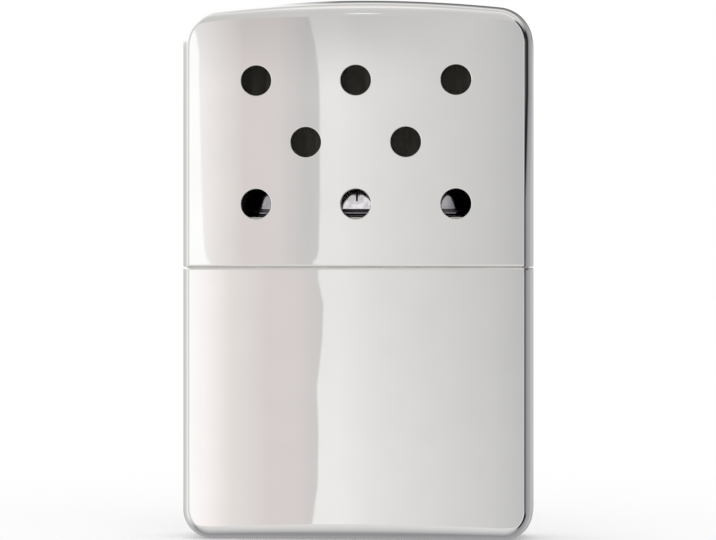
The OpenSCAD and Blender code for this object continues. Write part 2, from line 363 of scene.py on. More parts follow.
@dataclass(frozen=True)
class CaseForm:
    """The closed case's form: crowned broad faces that cut a rolled edge all round."""

    width: float = 49.6
    height: float = 76.2
    depth: float = 13.0
    wall: float = 0.45
    crown_radius: float = 683.0
    edge_radius: float = 3.3
    edge_proud: float = 0.36
    top_corner: float = 5.1
    bottom_corner: float = 4.2
    arch_radius: float = 190.0
    crease_round: float = 0.11
    soft_crease: float = 0.6
    crease_steps: int = 6
    roll_steps: int = 14
    band_steps: int = 4
    face_steps: int = 80

    @property
    def flat(self) -> float:
        """Half the depth of the straight band between the two rolled quarters."""
        return self.depth / 2 + self.edge_proud - self.edge_radius

    def crown(self, x: Array, inset: float = 0.0) -> Array:
        """Distance of a broad face from the middle plane: a circle of the crown's radius."""
        return np.sqrt((self.crown_radius - inset) ** 2 - x**2) - self.crown_radius + self.depth / 2

    def crown_normal(self, points: Array) -> Array:
        """Outward direction of the crowned faces: away from the crown circle's centre."""
        x = points[:, 0] / self.crown_radius
        return np.stack([x, np.sign(points[:, 1]) * np.sqrt(1 - x**2), np.zeros_like(x)], axis=1)

    def section(self, edge: Edge, inset: float) -> Array:
        """The case's skin across the edge at each station, from the front face to the back one.

        The roll is a circle about a line inside the outline: at the angle t from straight out, it
        lies radius * (1 - cos t) in from the outline and flat + radius * sin t from the middle
        plane. It meets the crowned face where both are as far out, which is found by repeating
        t = asin((crown - flat) / radius). The crease between them is rounded by a quadratic curve
        with the crease as its control point; it is tight at the sides and soft over the top and
        the foot, and grows to that as a smooth step of the outward direction's height above 0.7.

        Args:
            edge: the outline's stations.
            inset: distance of the skin inside the case's outer skin.

        Returns:
            Points of shape (stations, across, 3).
        """
        radius = self.edge_radius - inset
        turn = np.ones_like(edge.x)
        for _ in range(14):
            reach = self.edge_radius - radius * np.cos(turn)
            turn = np.arcsin((self.crown(edge.x - edge.nx * reach, inset) - self.flat) / radius)
        level = np.clip((np.abs(edge.nz) - 0.7) / 0.3, 0, 1)
        crease = self.crease_round + (self.soft_crease - self.crease_round) * level**2 * (3 - 2 * level)
        rolled = turn - crease / radius
        reach = [self.edge_radius - radius * np.cos(t) for t in (turn, turn, rolled)]
        reach[0] = reach[1] + crease
        out = [self.crown(edge.x - edge.nx * reach[0], inset)]
        out += [self.flat + radius * np.sin(t) for t in (turn, rolled)]
        t = np.linspace(0, 1, self.crease_steps + 1)[:-1]
        shares = np.stack([(1 - t) ** 2, 2 * t * (1 - t), t**2])
        held = np.array([0.0, 0.3])  # a short first step keeps the shading of the roll clean
        steps = np.concatenate([held, np.linspace(0, self.roll_steps, self.roll_steps + 1)[1:]])
        roll = rolled[:, None] * (1 - steps / self.roll_steps)
        in_from = np.concatenate([np.stack(reach, 1) @ shares, self.edge_radius - radius * np.cos(roll)], 1)
        out_by = np.concatenate([np.stack(out, 1) @ shares, self.flat + radius * np.sin(roll)], 1)
        band = np.linspace(-self.flat, self.flat, self.band_steps + 1)[1:-1]
        band = np.broadcast_to(band, (len(edge.x), len(band)))
        in_from = np.concatenate([in_from, np.full_like(band, inset), in_from[:, ::-1]], 1)
        y = np.concatenate([-out_by, band, out_by[:, ::-1]], 1)
        x, z = (edge.x[:, None] - edge.nx[:, None] * in_from, edge.z[:, None] - edge.nz[:, None] * in_from)
        return np.stack([x, y, z], axis=-1)

    def ring(self, inset: float, z: float) -> Array:
        """The skin's plan at a height of its straight sides: front, right side, back, left side.

        Args:
            inset: distance inside the case's outer skin.
            z: the height.

        Returns:
            Points of a closed loop that begins at the front's left crease.
        """
        half = np.array([-self.width / 2, self.width / 2])
        edge = Edge(half, np.full(2, float(z)), np.sign(half), np.zeros(2))
        left, right = self.section(edge, inset)
        x = np.linspace(left[0, 0], right[0, 0], self.face_steps + 1)
        front = np.stack([x, -self.crown(x, inset), np.full_like(x, z)], axis=1)
        back = front * [1, -1, 1]
        return np.concatenate([front[:-1], right[:-1], back[:0:-1], left[:0:-1]])


@dataclass(frozen=True)
class CaseHalf:
    """A lid or a tank case: outer and inner skins, a rolled rim at the seam, and air holes."""

    form: CaseForm
    edge: Edge
    rim_z: float
    away: float
    block_z: tuple[float, float]
    half_block: float = 17.625
    cell_steps: int = 16
    frame_rows: int = 12
    lip_in: float = 0.13
    lip_up: float = 0.3
    inner_lip: float = 0.08

    @property
    def start_z(self) -> float:
        """Height at which the rim's outer rounding starts."""
        return self.rim_z + self.away * self.lip_up

    def face(self, skin: Skin, inset: float, side: int, slot: int, pierced: bool) -> None:
        """Adds one broad face: a block of cells, and a frame from the block out to the crease.

        A point of the frame moves straight from the block's outline to the crease; its distance
        from the middle plane is the crown's. Cells that an air hole takes are left out.

        Args:
            skin: the mesh in the making.
            inset: distance inside the outer skin.
            side: -1 for the front and 1 for the back.
            slot: number of the material slot.
            pierced: whether the face has air holes.
        """
        steps, form = self.cell_steps, self.form
        crease = form.section(self.edge, inset)[:, 0 if side < 0 else -1][:, [0, 2]]
        seam_x = np.linspace(crease[0, 0], crease[-1, 0], form.face_steps + 1)
        seam = np.stack([seam_x, np.full_like(seam_x, crease[0, 1])], axis=1)
        outer = np.concatenate([seam[:-1], crease[:0:-1]])
        x = np.linspace(-self.half_block, self.half_block, 5 * steps + 1)
        z = np.linspace(*self.block_z, 3 * steps + 1)
        inner = np.concatenate(
            [
                np.stack([x[:-1], np.full(len(x) - 1, z[0])], 1),
                np.stack([np.full(len(z) - 1, x[-1]), z[:-1]], 1),
                np.stack([x[:0:-1], np.full(len(x) - 1, z[-1])], 1),
                np.stack([np.full(len(z) - 1, x[0]), z[:0:-1]], 1),
            ]
        )
        t = np.linspace(0, 1, self.frame_rows + 1)[:, None, None]
        rim = inner * (1 - t) + outer * t
        skin.add(self.on_face(rim, inset, side), slot, around=True)
        block = np.stack(np.meshgrid(x, z), axis=-1)
        column, row = np.arange(5 * steps) // steps, np.arange(3 * steps) // steps
        solid = (column[None] + row[:, None]) % 2 == 1
        skin.add(self.on_face(block, inset, side), slot, keep=solid if pierced else None)

    def on_face(self, flat: Array, inset: float, side: int, depth: Optional[Array] = None) -> Array:
        """Lifts points (x, z) onto a crowned face, or to a depth behind it."""
        y = side * (self.form.crown(flat[..., 0], inset) - (0 if depth is None else depth))
        return np.stack([flat[..., 0], y, flat[..., 1]], axis=-1)

    def shell(self, skin: Skin, pierced: bool) -> None:
        """Adds the whole half: faces, edge strips, and the rim that joins the two skins.

        Args:
            skin: the mesh in the making; slot 0 is the plated outside and 1 the bare inside.
            pierced: whether the front has air holes.
        """
        form = self.form
        for inset, slot in ((0.0, 0), (form.wall, 1)):
            skin.add(form.section(self.edge, inset), slot)
            for side in (-1, 1):
                self.face(skin, inset, side, slot, pierced and side < 0)
        turn = np.radians(np.linspace(0, 90, 6))
        inset = [self.lip_in * (1 - np.cos(turn)), form.wall - self.inner_lip * (1 - np.sin(turn))]
        up = [self.lip_up * (1 - np.sin(turn)), self.inner_lip * (1 - np.cos(turn))]
        insets = np.concatenate([*inset, [form.wall]])
        ups = np.concatenate([*up, [self.lip_up]])
        rows = [form.ring(i, self.rim_z + self.away * u) for i, u in zip(insets, ups)]
        skin.add(np.stack(rows), 0, around=True)


@dataclass(frozen=True)
class AirHole:
    """A punched hole: its edge is pressed in a little and rounded, on a square patch of face."""

    half: CaseHalf
    radius: float = 2.1
    rim: float = 0.17
    inner_rim: float = 0.06
    rows: int = 6

    def cut(self, skin: Skin, x: float, z: float, width: float, height: float) -> None:
        """Adds the patch, the rounded edge, the wall and the patch behind it.

        Between the patch's square outline and the hole's circle, points move straight; each keeps
        its share of the way round. The edge is a quarter circle of the rim's radius.

        Args:
            skin: the mesh in the making.
            x: the hole's middle across.
            z: the hole's height.
            width: the patch's width.
            height: the patch's height, negative where the patch's rows run downwards.
        """
        steps, wall = self.half.cell_steps, self.half.form.wall
        t = np.linspace(-0.5, 0.5, steps + 1)[:-1]
        side = np.full(steps, 0.5)
        square = np.stack([np.concatenate([t, side, -t, -side]), np.concatenate([-side, t, side, -t])], 1)
        square = square * [width, height] + [x, z]
        turn = np.radians(np.arange(4 * steps) * 90 / steps - 135)
        way = np.stack([np.cos(turn), np.sin(turn) * np.sign(height)], axis=1)
        quarter = np.radians(np.linspace(0, 90, 6))[:, None, None]
        move = np.linspace(0, 1, self.rows + 1)[:, None, None]

        def circle(radius: Array) -> Array:
            """Points of the hole's circle at a radius."""
            return way * radius + [x, z]

        outer = square * (1 - move) + circle(self.radius + self.rim) * move
        skin.add(self.half.on_face(outer, 0.0, -1), 0, around=True)
        edge = circle(self.radius + self.rim * (1 - np.sin(quarter)))
        depth = self.rim * (1 - np.cos(quarter[:, :, 0]))
        back = circle(self.radius + self.inner_rim * (1 - np.cos(quarter)))
        back_depth = wall - self.inner_rim * (1 - np.sin(quarter[:, :, 0]))
        tube = np.concatenate([edge, back])
        depth = np.broadcast_to(np.concatenate([depth, back_depth]), tube.shape[:2])
        points = self.half.on_face(tube, 0.0, -1, depth)
        points[-1] = self.half.on_face(tube[-1], wall, -1)
        skin.add(points, 0, around=True)
        inner = circle(self.radius + self.inner_rim) * (1 - move) + square * move
        skin.add(self.half.on_face(inner, wall, -1), 1, around=True)


@dataclass(frozen=True)
class Oval:
    """An oval path: a straight run, and a half round at each end, about the middle line."""

    run: float
    breaks: tuple[float, ...] = ()
    straight_step: float = 1.2
    round_steps: int = 28

    def stations(self) -> tuple[Array, Array, Array]:
        """Stations once round from the front's left.

        Along a run the outward direction stays, and at an end it turns by half a circle while the
        place on the middle line stays.

        Returns:
            Places on the middle line, and the two parts of the outward directions.
        """
        marks = np.array([-self.run, *self.breaks, self.run])
        counts = np.maximum(1, np.ceil(np.diff(marks) / self.straight_step)).astype(int)
        runs = [np.linspace(a, b, n + 1)[:-1] for a, b, n in zip(marks, marks[1:], counts)]
        x = np.concatenate(runs)
        turn = np.radians(np.linspace(-90, 90, self.round_steps + 1))[:-1]
        line, ends = np.ones_like(x), np.ones_like(turn)
        return (
            np.concatenate([x, self.run * ends, -x, -self.run * ends]),
            np.concatenate([0 * line, np.cos(turn), 0 * line, -np.cos(turn)]),
            np.concatenate([-line, np.sin(turn), line, -np.sin(turn)]),
        )

    def sweep(self, profile: Array) -> Array:
        """Carries a profile round the oval.

        Args:
            profile: radii and heights, shape (rows, 2).

        Returns:
            Points of shape (rows, stations, 3); the columns close.
        """
        x, nx, ny = self.stations()
        radius, z = profile[:, :1], profile[:, 1:]
        return np.stack([x + radius * nx, radius * ny, z + 0 * x], axis=-1)

    def at(self, share: Array, radius: float, z: float) -> Array:
        """Points at shares of the way round, from the middle of the front towards +X.

        The way's length tells the leg: on a run x moves by the length, and at an end the angle
        moves by the length over the radius.

        Args:
            share: shares of the way, from 0 to 1.
            radius: the oval's radius.
            z: the height.

        Returns:
            The points.
        """
        arc = math.pi * radius
        length = (share % 1) * (4 * self.run + 2 * arc)
        marks = np.cumsum([self.run, arc, 2 * self.run, arc])
        turn = (length - marks[0]) / radius - math.pi / 2
        back = (length - marks[2]) / radius + math.pi / 2
        leg = [length < m for m in marks]
        right, left = self.run + radius * np.cos(turn), -self.run + radius * np.cos(back)
        x = np.select(leg, [length, right, self.run - length + marks[1], left], length - marks[3] - self.run)
        y = np.select(leg, [-radius, radius * np.sin(turn), radius, radius * np.sin(back)], -radius)
        return np.stack([x, y, np.full_like(x, z)], axis=-1)


# ---- Finishes ----


@dataclass(frozen=True)
class Finish:
    """A surface finish: its name, colour, and the plain values of its shader."""

    name: str
    colour: str
    metallic: float = 1.0
    roughness: float = 0.3

    def material(self) -> bpy.types.Material:
        """Makes the material once, and hands out the same one after that.

        Returns:
            The material.
        """
        known = bpy.data.materials.get(self.name)
        if known:
            return known
        made = bpy.data.materials.new(self.name)
        made.use_nodes = True
        tree = made.node_tree
        tree.nodes.clear()
        inputs = {"Base Color": linear(self.colour), "Metallic": self.metallic, "Roughness": self.roughness}
        inputs.update(self.pattern(tree, add_node(tree, "TexCoord", out="Object")))
        add_node(tree, "OutputMaterial", (add_node(tree, "BsdfPrincipled", inputs),))
        return made

    def pattern(self, tree: Tree, place: Socket) -> dict[str, Link]:
        """Adds what varies over the surface.

        Args:
            tree: the material's nodes.
            place: where on the object a point lies, in metres.

        Returns:
            What feeds the shader, by socket name. A plain finish has nothing.
        """
        return {}

    def grain(self, tree: Tree, place: Socket, size: Sequence[float], detail: float) -> Socket:
        """Noise from 0 to 1.

        Args:
            tree: the material's nodes.
            place: where on the object a point lies, in metres.
            size: the features' size in mm along each axis.
            detail: octaves of finer noise.

        Returns:
            The noise.
        """
        scale = tuple(1 / (s * MM) for s in size)
        spread = add_node(tree, "Mapping", {"Vector": place, "Scale": scale})
        return add_node(tree, "TexNoise", {"Vector": spread, "Scale": 1.0, "Detail": detail, "Roughness": 0.55})


@dataclass(frozen=True)
class PolishedChrome(Finish):
    """Bright chrome over nickel on drawn brass, buffed: a neutral mirror with faint buffing lines."""

    name: str = "chrome_plate_buffed"
    colour: str = "#f0f0f0"
    roughness: float = 0.012
    # Buffing lines are some micrometres wide; 0.12 mm is as fine as the picture shows.
    line: tuple[float, float, float] = (0.12, 0.12, 7.0)
    # The drawn sheet is wavy over the width of a thumb, by well under a micrometre.
    wave: tuple[float, float, float] = (16.0, 16.0, 26.0)
    film: tuple[float, float, float] = (5.0, 5.0, 5.0)

    def pattern(self, tree: Tree, place: Socket) -> dict[str, Link]:
        """Buffing lines in roughness and relief, a wavy sheet, and a breath of handling film.

        Args:
            tree: the material's nodes.
            place: where on the object a point lies, in metres.

        Returns:
            What feeds the shader, by socket name.
        """
        lines = self.grain(tree, place, self.line, 3.0)
        film = self.grain(tree, place, self.film, 4.0)
        waves = self.grain(tree, place, self.wave, 0.0)
        buffed = add_node(tree, "MapRange", (lines, 0.45, 0.8, self.roughness, 2 * self.roughness))
        handled = add_node(tree, "MapRange", (film, 0.5, 0.8, 0.0, self.roughness))
        bump = add_node(tree, "Bump", {"Height": waves, "Distance": 0.002 * MM})
        return {
            "Base Color": add_node(tree, "ValToRGB", (film,), stops=[(0.3, "#f1f1f1"), (0.75, "#eeeeee")]),
            "Roughness": add_node(tree, "Math", (buffed, handled), operation="ADD"),
            "Normal": add_node(tree, "Bump", {"Height": lines, "Distance": 0.00001 * MM, "Normal": bump}),
        }


@dataclass(frozen=True)
class BareInside(Finish):
    """The unplated inside of the drawn sheet: dull grey from the bath, with draw marks."""

    name: str = "drawn_brass_inside_dull"
    colour: str = "#928e87"
    roughness: float = 0.5

    def pattern(self, tree: Tree, place: Socket) -> dict[str, Link]:
        """Upright draw marks and cloudy darkening.

        Args:
            tree: the material's nodes.
            place: where on the object a point lies, in metres.

        Returns:
            What feeds the shader, by socket name.
        """
        marks = self.grain(tree, place, (0.5, 0.5, 9.0), 4.0)
        clouds = self.grain(tree, place, (6.0, 6.0, 6.0), 4.0)
        stops = [(0.3, "#807c76"), (0.55, "#928e87"), (0.75, "#a09b90")]
        return {
            "Base Color": add_node(tree, "ValToRGB", (clouds,), stops=stops),
            "Roughness": add_node(tree, "MapRange", (marks, 0.3, 0.7, 0.42, 0.6)),
            "Normal": add_node(tree, "Bump", {"Height": marks, "Distance": 0.01 * MM}),
        }


@dataclass(frozen=True)
class SatinNickel(Finish):
    """Satin nickel on the tank's cap: pale warm grey with short rubbed lines across."""

    name: str = "nickel_plate_satin"
    colour: str = "#d6d3cd"
    roughness: float = 0.14

    def pattern(self, tree: Tree, place: Socket) -> dict[str, Link]:
        """Rubbed lines along the width, and brighter streaks where the lid's rim slides.

        Args:
            tree: the material's nodes.
            place: where on the object a point lies, in metres.

        Returns:
            What feeds the shader, by socket name.
        """
        lines = self.grain(tree, place, (5.0, 0.12, 0.12), 3.0)
        wear = self.grain(tree, place, (3.0, 3.0, 12.0), 4.0)
        stops = [(0.35, "#c9c6bf"), (0.6, "#d6d3cd"), (0.72, "#dddbd6")]
        return {
            "Base Color": add_node(tree, "ValToRGB", (wear,), stops=stops),
            "Roughness": add_node(tree, "MapRange", (lines, 0.35, 0.7, self.roughness, 0.24)),
            "Normal": add_node(tree, "Bump", {"Height": lines, "Distance": 0.004 * MM}),
        }


@dataclass(frozen=True)
class StampedSteel(Finish):
    """Bright nickelled steel of the burner: a near mirror, straw from heat on top, painted shade on ends and
    flange.
    """

    name: str = "steel_sheet_nickelled"
    colour: str = "#f3f1f6"
    roughness: float = 0.1
    # Heights in mm between which the heat tint grows, and where painted shade covers the flange and the ends.
    tint_z: tuple[float, float] = (51.5, 54.0)
    flange_z: tuple[float, float] = (46.4, 46.6)
    end_x: tuple[float, float] = (13.8, 11.2)

    def pattern(self, tree: Tree, place: Socket) -> dict[str, Link]:
        """Rolling lines, press marks, heat colours towards the window, and painted shade on the ends and flange.

        Args:
            tree: the material's nodes.
            place: where on the object a point lies, in metres.

        Returns:
            What feeds the shader, by socket name.
        """
        lines = self.grain(tree, place, (4.0, 0.1, 0.1), 3.0)
        marks = self.grain(tree, place, (0.7, 0.7, 0.7), 4.0)
        axes = add_node(tree, "SeparateXYZ", (place,)).node.outputs
        heat = add_node(tree, "MapRange", (axes["Z"], *(z * MM for z in self.tint_z), 0.0, 0.7))
        uneven = add_node(tree, "MapRange", (marks, 0.3, 0.7, 0.0, 0.3))
        heat = add_node(tree, "Math", (heat, uneven), operation="ADD")
        stops = [(0.0, "#fbfafd"), (0.3, "#dedbe1"), (0.6, "#dfd8cb"), (0.85, "#d6c7a8"), (1.0, "#b9a08c")]
        tinted = add_node(tree, "ValToRGB", (heat,), stops=stops)
        # Painted shade: a dark grey base on the round ends and on the flange, where they lie in shade.
        aside = add_node(tree, "Math", (axes["X"],), operation="ABSOLUTE")
        inner = add_node(tree, "MapRange", (aside, *(x * MM for x in self.end_x)))
        above = add_node(tree, "MapRange", (axes["Z"], *(z * MM for z in self.flange_z)))
        bright = add_node(tree, "Math", (inner, above), operation="MULTIPLY")
        return {
            "Base Color": add_node(tree, "MixRGB", (bright, linear("#85828a"), tinted)),
            "Roughness": add_node(tree, "MapRange", (marks, 0.4, 0.75, self.roughness, 0.2)),
            "Normal": add_node(tree, "Bump", {"Height": lines, "Distance": 0.001 * MM}),
        }


@dataclass(frozen=True)
class FootSteelPaintedShade(Finish):
    """Steel of the burner's foot under painted shade: dark, and without a shine."""

    name: str = "steel_foot_painted_shade"
    colour: str = "#4b474d"
    roughness: float = 0.5
    # The half rounds take less painted shade and stay grey, between these distances from the middle.
    end_x: tuple[float, float] = (10.5, 12.0)

    def pattern(self, tree: Tree, place: Socket) -> dict[str, Link]:
        """Blotchy painted shade, from near black to a violet grey, and greyer ends.

        Args:
            tree: the material's nodes.
            place: where on the object a point lies, in metres.

        Returns:
            What feeds the shader, by socket name.
        """
        # Painted shade: the tube between the hood's lower edge and the flange lies in shadow.
        blotches = self.grain(tree, place, (1.5, 1.5, 0.8), 4.0)
        stops = [(0.3, "#39353a"), (0.5, "#4b474d"), (0.72, "#6a656b")]
        brown = add_node(tree, "ValToRGB", (blotches,), stops=stops)
        aside = add_node(tree, "SeparateXYZ", (place,), out="X")
        aside = add_node(tree, "Math", (aside,), operation="ABSOLUTE")
        aside = add_node(tree, "MapRange", (aside, *(x * MM for x in self.end_x)))
        return {
            "Base Color": add_node(tree, "MixRGB", (aside, brown, linear("#85828a"))),
            "Roughness": add_node(tree, "MapRange", (blotches, 0.3, 0.7, 0.42, 0.6)),
        }


@dataclass(frozen=True)
class BrassSheet(Finish):
    """Rolled brass sheet: warm and bright, with a dark painted shade behind the hood's slits and low all round.
    """

    name: str = "brass_sheet_rolled"
    colour: str = "#c9a45e"
    roughness: float = 0.25
    # Half the width of the painted shade, and the height up to which it goes all round, in mm.
    shade_x: tuple[float, float] = (1.2, 3.0)
    shade_z: tuple[float, float] = (46.4, 47.2)

    def pattern(self, tree: Tree, place: Socket) -> dict[str, Link]:
        """Tarnish clouds, upright drawing lines, and the painted shade behind the slits and low down.

        Args:
            tree: the material's nodes.
            place: where on the object a point lies, in metres.

        Returns:
            What feeds the shader, by socket name.
        """
        clouds = self.grain(tree, place, (2.2, 2.2, 2.2), 5.0)
        lines = self.grain(tree, place, (0.12, 0.12, 3.0), 3.0)
        stops = [(0.35, "#9c7742"), (0.5, "#c29c56"), (0.7, "#d8b672")]
        clean = add_node(tree, "ValToRGB", (clouds,), stops=stops)
        # Painted shade: near black where the neck lies in the hood's shadow, behind its slits and under its
        # flange.
        brown = add_node(tree, "ValToRGB", (clouds,), stops=[(0.35, "#2f2a29"), (0.7, "#453d38")])
        axes = add_node(tree, "SeparateXYZ", (place,)).node.outputs
        aside = add_node(tree, "Math", (axes["X"],), operation="ABSOLUTE")
        aside = add_node(tree, "MapRange", (aside, *(x * MM for x in self.shade_x)))
        above = add_node(tree, "MapRange", (axes["Z"], *(z * MM for z in self.shade_z)))
        share = add_node(tree, "Math", (aside, above), operation="MULTIPLY")
        smooth = add_node(tree, "MapRange", (clouds, 0.35, 0.7, 0.38, 0.2))
        dull = add_node(tree, "MapRange", (share, 0.0, 1.0, 0.25, 0.0))
        return {
            "Base Color": add_node(tree, "MixRGB", (share, brown, clean)),
            "Roughness": add_node(tree, "Math", (smooth, dull), operation="ADD"),
            "Normal": add_node(tree, "Bump", {"Height": lines, "Distance": 0.003 * MM}),
        }


@dataclass(frozen=True)
class SoftSolder(Finish):
    """Soft solder as it flowed: grey and a little frosted, with ripples."""

    name: str = "soft_solder_flowed"
    colour: str = "#b3b2ae"
    roughness: float = 0.34

    def pattern(self, tree: Tree, place: Socket) -> dict[str, Link]:
        """Flow ripples and frosted grains.

        Args:
            tree: the material's nodes.
            place: where on the object a point lies, in metres.

        Returns:
            What feeds the shader, by socket name.
        """
        ripples = self.grain(tree, place, (0.9, 0.9, 0.5), 3.0)
        return {
            "Base Color": add_node(tree, "ValToRGB", (ripples,), stops=[(0.35, "#93928e"), (0.65, "#c2c1bd")]),
            "Normal": add_node(tree, "Bump", {"Height": ripples, "Distance": 0.05 * MM}),
        }


@dataclass(frozen=True)
class SteelWire(Finish):
    """Fine drawn steel wire of the gauzes, dulled by use; the weave itself is modelled."""

    name: str = "steel_wire_drawn"
    colour: str = "#8e8b86"
    roughness: float = 0.42

    def pattern(self, tree: Tree, place: Socket) -> dict[str, Link]:
        """Patches of brown oxide between brighter wires.

        Args:
            tree: the material's nodes.
            place: where on the object a point lies, in metres.

        Returns:
            What feeds the shader, by socket name.
        """
        patches = self.grain(tree, place, (1.4, 1.4, 1.4), 4.0)
        stops = [(0.35, "#6f665c"), (0.55, "#8e8b86"), (0.75, "#a8a6a2")]
        return {"Base Color": add_node(tree, "ValToRGB", (patches,), stops=stops)}


@dataclass(frozen=True)
class Fibre(Finish):
    """Matted fibres: pressed felt, cotton wadding, or glass fibre with a catalyst on it."""

    name: str = "fibre"
    colour: str = "#e8e4d9"
    metallic: float = 0.0
    roughness: float = 0.95
    dark: str = "#cfc8b8"
    sheen: float = 0.35
    # Clumps of fibre, and a strand's width drawn five times too coarse so that it shows.
    clump: float = 2.5
    strand: float = 0.12
    relief: float = 0.12

    def pattern(self, tree: Tree, place: Socket) -> dict[str, Link]:
        """Clumps in colour, crossing strands in relief, and the sheen of loose ends.

        Args:
            tree: the material's nodes.
            place: where on the object a point lies, in metres.

        Returns:
            What feeds the shader, by socket name.
        """
        clump, strand = self.clump, self.strand
        clumps = self.grain(tree, place, (clump, clump, clump), 5.0)
        along = self.grain(tree, place, (clump, strand, strand), 3.0)
        across = self.grain(tree, place, (strand, clump, strand), 3.0)
        strands = add_node(tree, "Math", (along, across), operation="MAXIMUM")
        share = add_node(tree, "Math", (clumps, strands), operation="MULTIPLY")
        bump = add_node(tree, "Bump", {"Height": clumps, "Distance": self.relief * MM})
        return {
            "Base Color": add_node(tree, "ValToRGB", (share,), stops=[(0.15, self.dark), (0.4, self.colour)]),
            "Sheen Weight": self.sheen,
            "Sheen Roughness": 0.5,
            "Normal": add_node(tree, "Bump", {"Height": strands, "Distance": 0.5 * strand * MM, "Normal": bump}),
        }


CHROME = PolishedChrome()
INSIDE = BareInside()
SATIN = SatinNickel()
STEEL = StampedSteel()
FOOT_PAINTED_SHADE = FootSteelPaintedShade()
BRASS = BrassSheet()
SOLDER = SoftSolder()
WIRE = SteelWire()
FELT = Fibre("wool_felt_pressed", "#e0d9c8", dark="#c4baa4", clump=1.2, strand=0.08, relief=0.05)
COTTON = Fibre("cotton_wadding_carded", "#f0ede4", dark="#dad4c6")
CATALYST = Fibre(
    "glass_fibre_catalyst", "#b9b2a6", dark="#7c766d", clump=1.0, strand=0.07, sheen=0.15, relief=0.06
)


# ---- Sub-assemblies ----


class Assembly:
    """What every sub-assembly does with a piece that is ready."""

    body: Body

    def place(
        self, piece: bpy.types.Object, slot: Slot, nodes: Sequence[str], *finishes: Finish
    ) -> bpy.types.Object:
        """Dresses a piece, rides it on its body, and puts it in the place of CAD nodes.

        Args:
            piece: the object, at the origin.
            slot: the record's slot for its finish; not used.
            nodes: the CAD nodes that it stands for.
            finishes: the finish of each material slot in turn.

        Returns:
            The piece.
        """
        for finish in finishes:
            piece.data.materials.append(finish.material())
        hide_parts(*nodes)
        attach(piece, self.body.value)
        log.info("%s rides on %s: %d faces", piece.name, self.body.value, len(piece.data.polygons))
        return piece


@dataclass
class Lid(Assembly):
    """The lift-off cover: an arched, drawn shell with eight air holes in its front."""

    form: CaseForm
    body: Body = Body.LID
    rim_z: float = 38.575
    hole_pitch_x: float = 7.05
    hole_pitch_z: float = 8.7
    middle_row_z: float = 56.1
    side_steps: int = 38
    corner_steps: int = 20
    arch_steps: int = 60

    def outline(self, start_z: float) -> Edge:
        """The cover's outline from the left rim over the arch to the right rim.

        Args:
            start_z: height at which the rim's rounding starts.

        Returns:
            The outline's stations.
        """
        form = self.form
        half, corner = form.width / 2, form.top_corner
        corner_x, arch_z = half - corner, form.height - form.arch_radius
        spread = form.arch_radius - corner
        corner_z = arch_z + math.sqrt(spread**2 - corner_x**2)
        lean = math.degrees(math.asin(corner_x / spread))
        return Edge.chain(
            [
                Edge.line((-half, start_z), (-half, corner_z), (-1, 0), self.side_steps),
                Edge.arc(-corner_x, corner_z, corner, 180, 90 + lean, self.corner_steps),
                Edge.arc(0, arch_z, form.arch_radius, 90 + lean, 90 - lean, self.arch_steps),
                Edge.arc(corner_x, corner_z, corner, 90 - lean, 0, self.corner_steps),
                Edge.line((half, corner_z), (half, start_z), (1, 0), self.side_steps),
            ]
        )

    def build(self) -> None:
        """Builds the cover with its pattern of holes: rows of three, two and three."""
        pitch_x, pitch_z = self.hole_pitch_x, self.hole_pitch_z
        block_z = (self.middle_row_z - 1.5 * pitch_z, self.middle_row_z + 1.5 * pitch_z)
        start_z = self.rim_z + CaseHalf.lip_up
        half = CaseHalf(self.form, self.outline(start_z), self.rim_z, 1, block_z, 2.5 * pitch_x)
        skin = Skin()
        half.shell(skin, pierced=True)
        hole = AirHole(half)
        for row, column in [(r, c) for r in range(3) for c in range(5) if (r + c) % 2 == 0]:
            x, z = (column - 2) * pitch_x, self.middle_row_z + (row - 1) * pitch_z
            hole.cut(skin, x, z, pitch_x, pitch_z)
        cover = skin.build("lid_cover", [self.form])
        self.place(cover, Slot.CHROME, ["lid_shell"], CHROME, INSIDE)


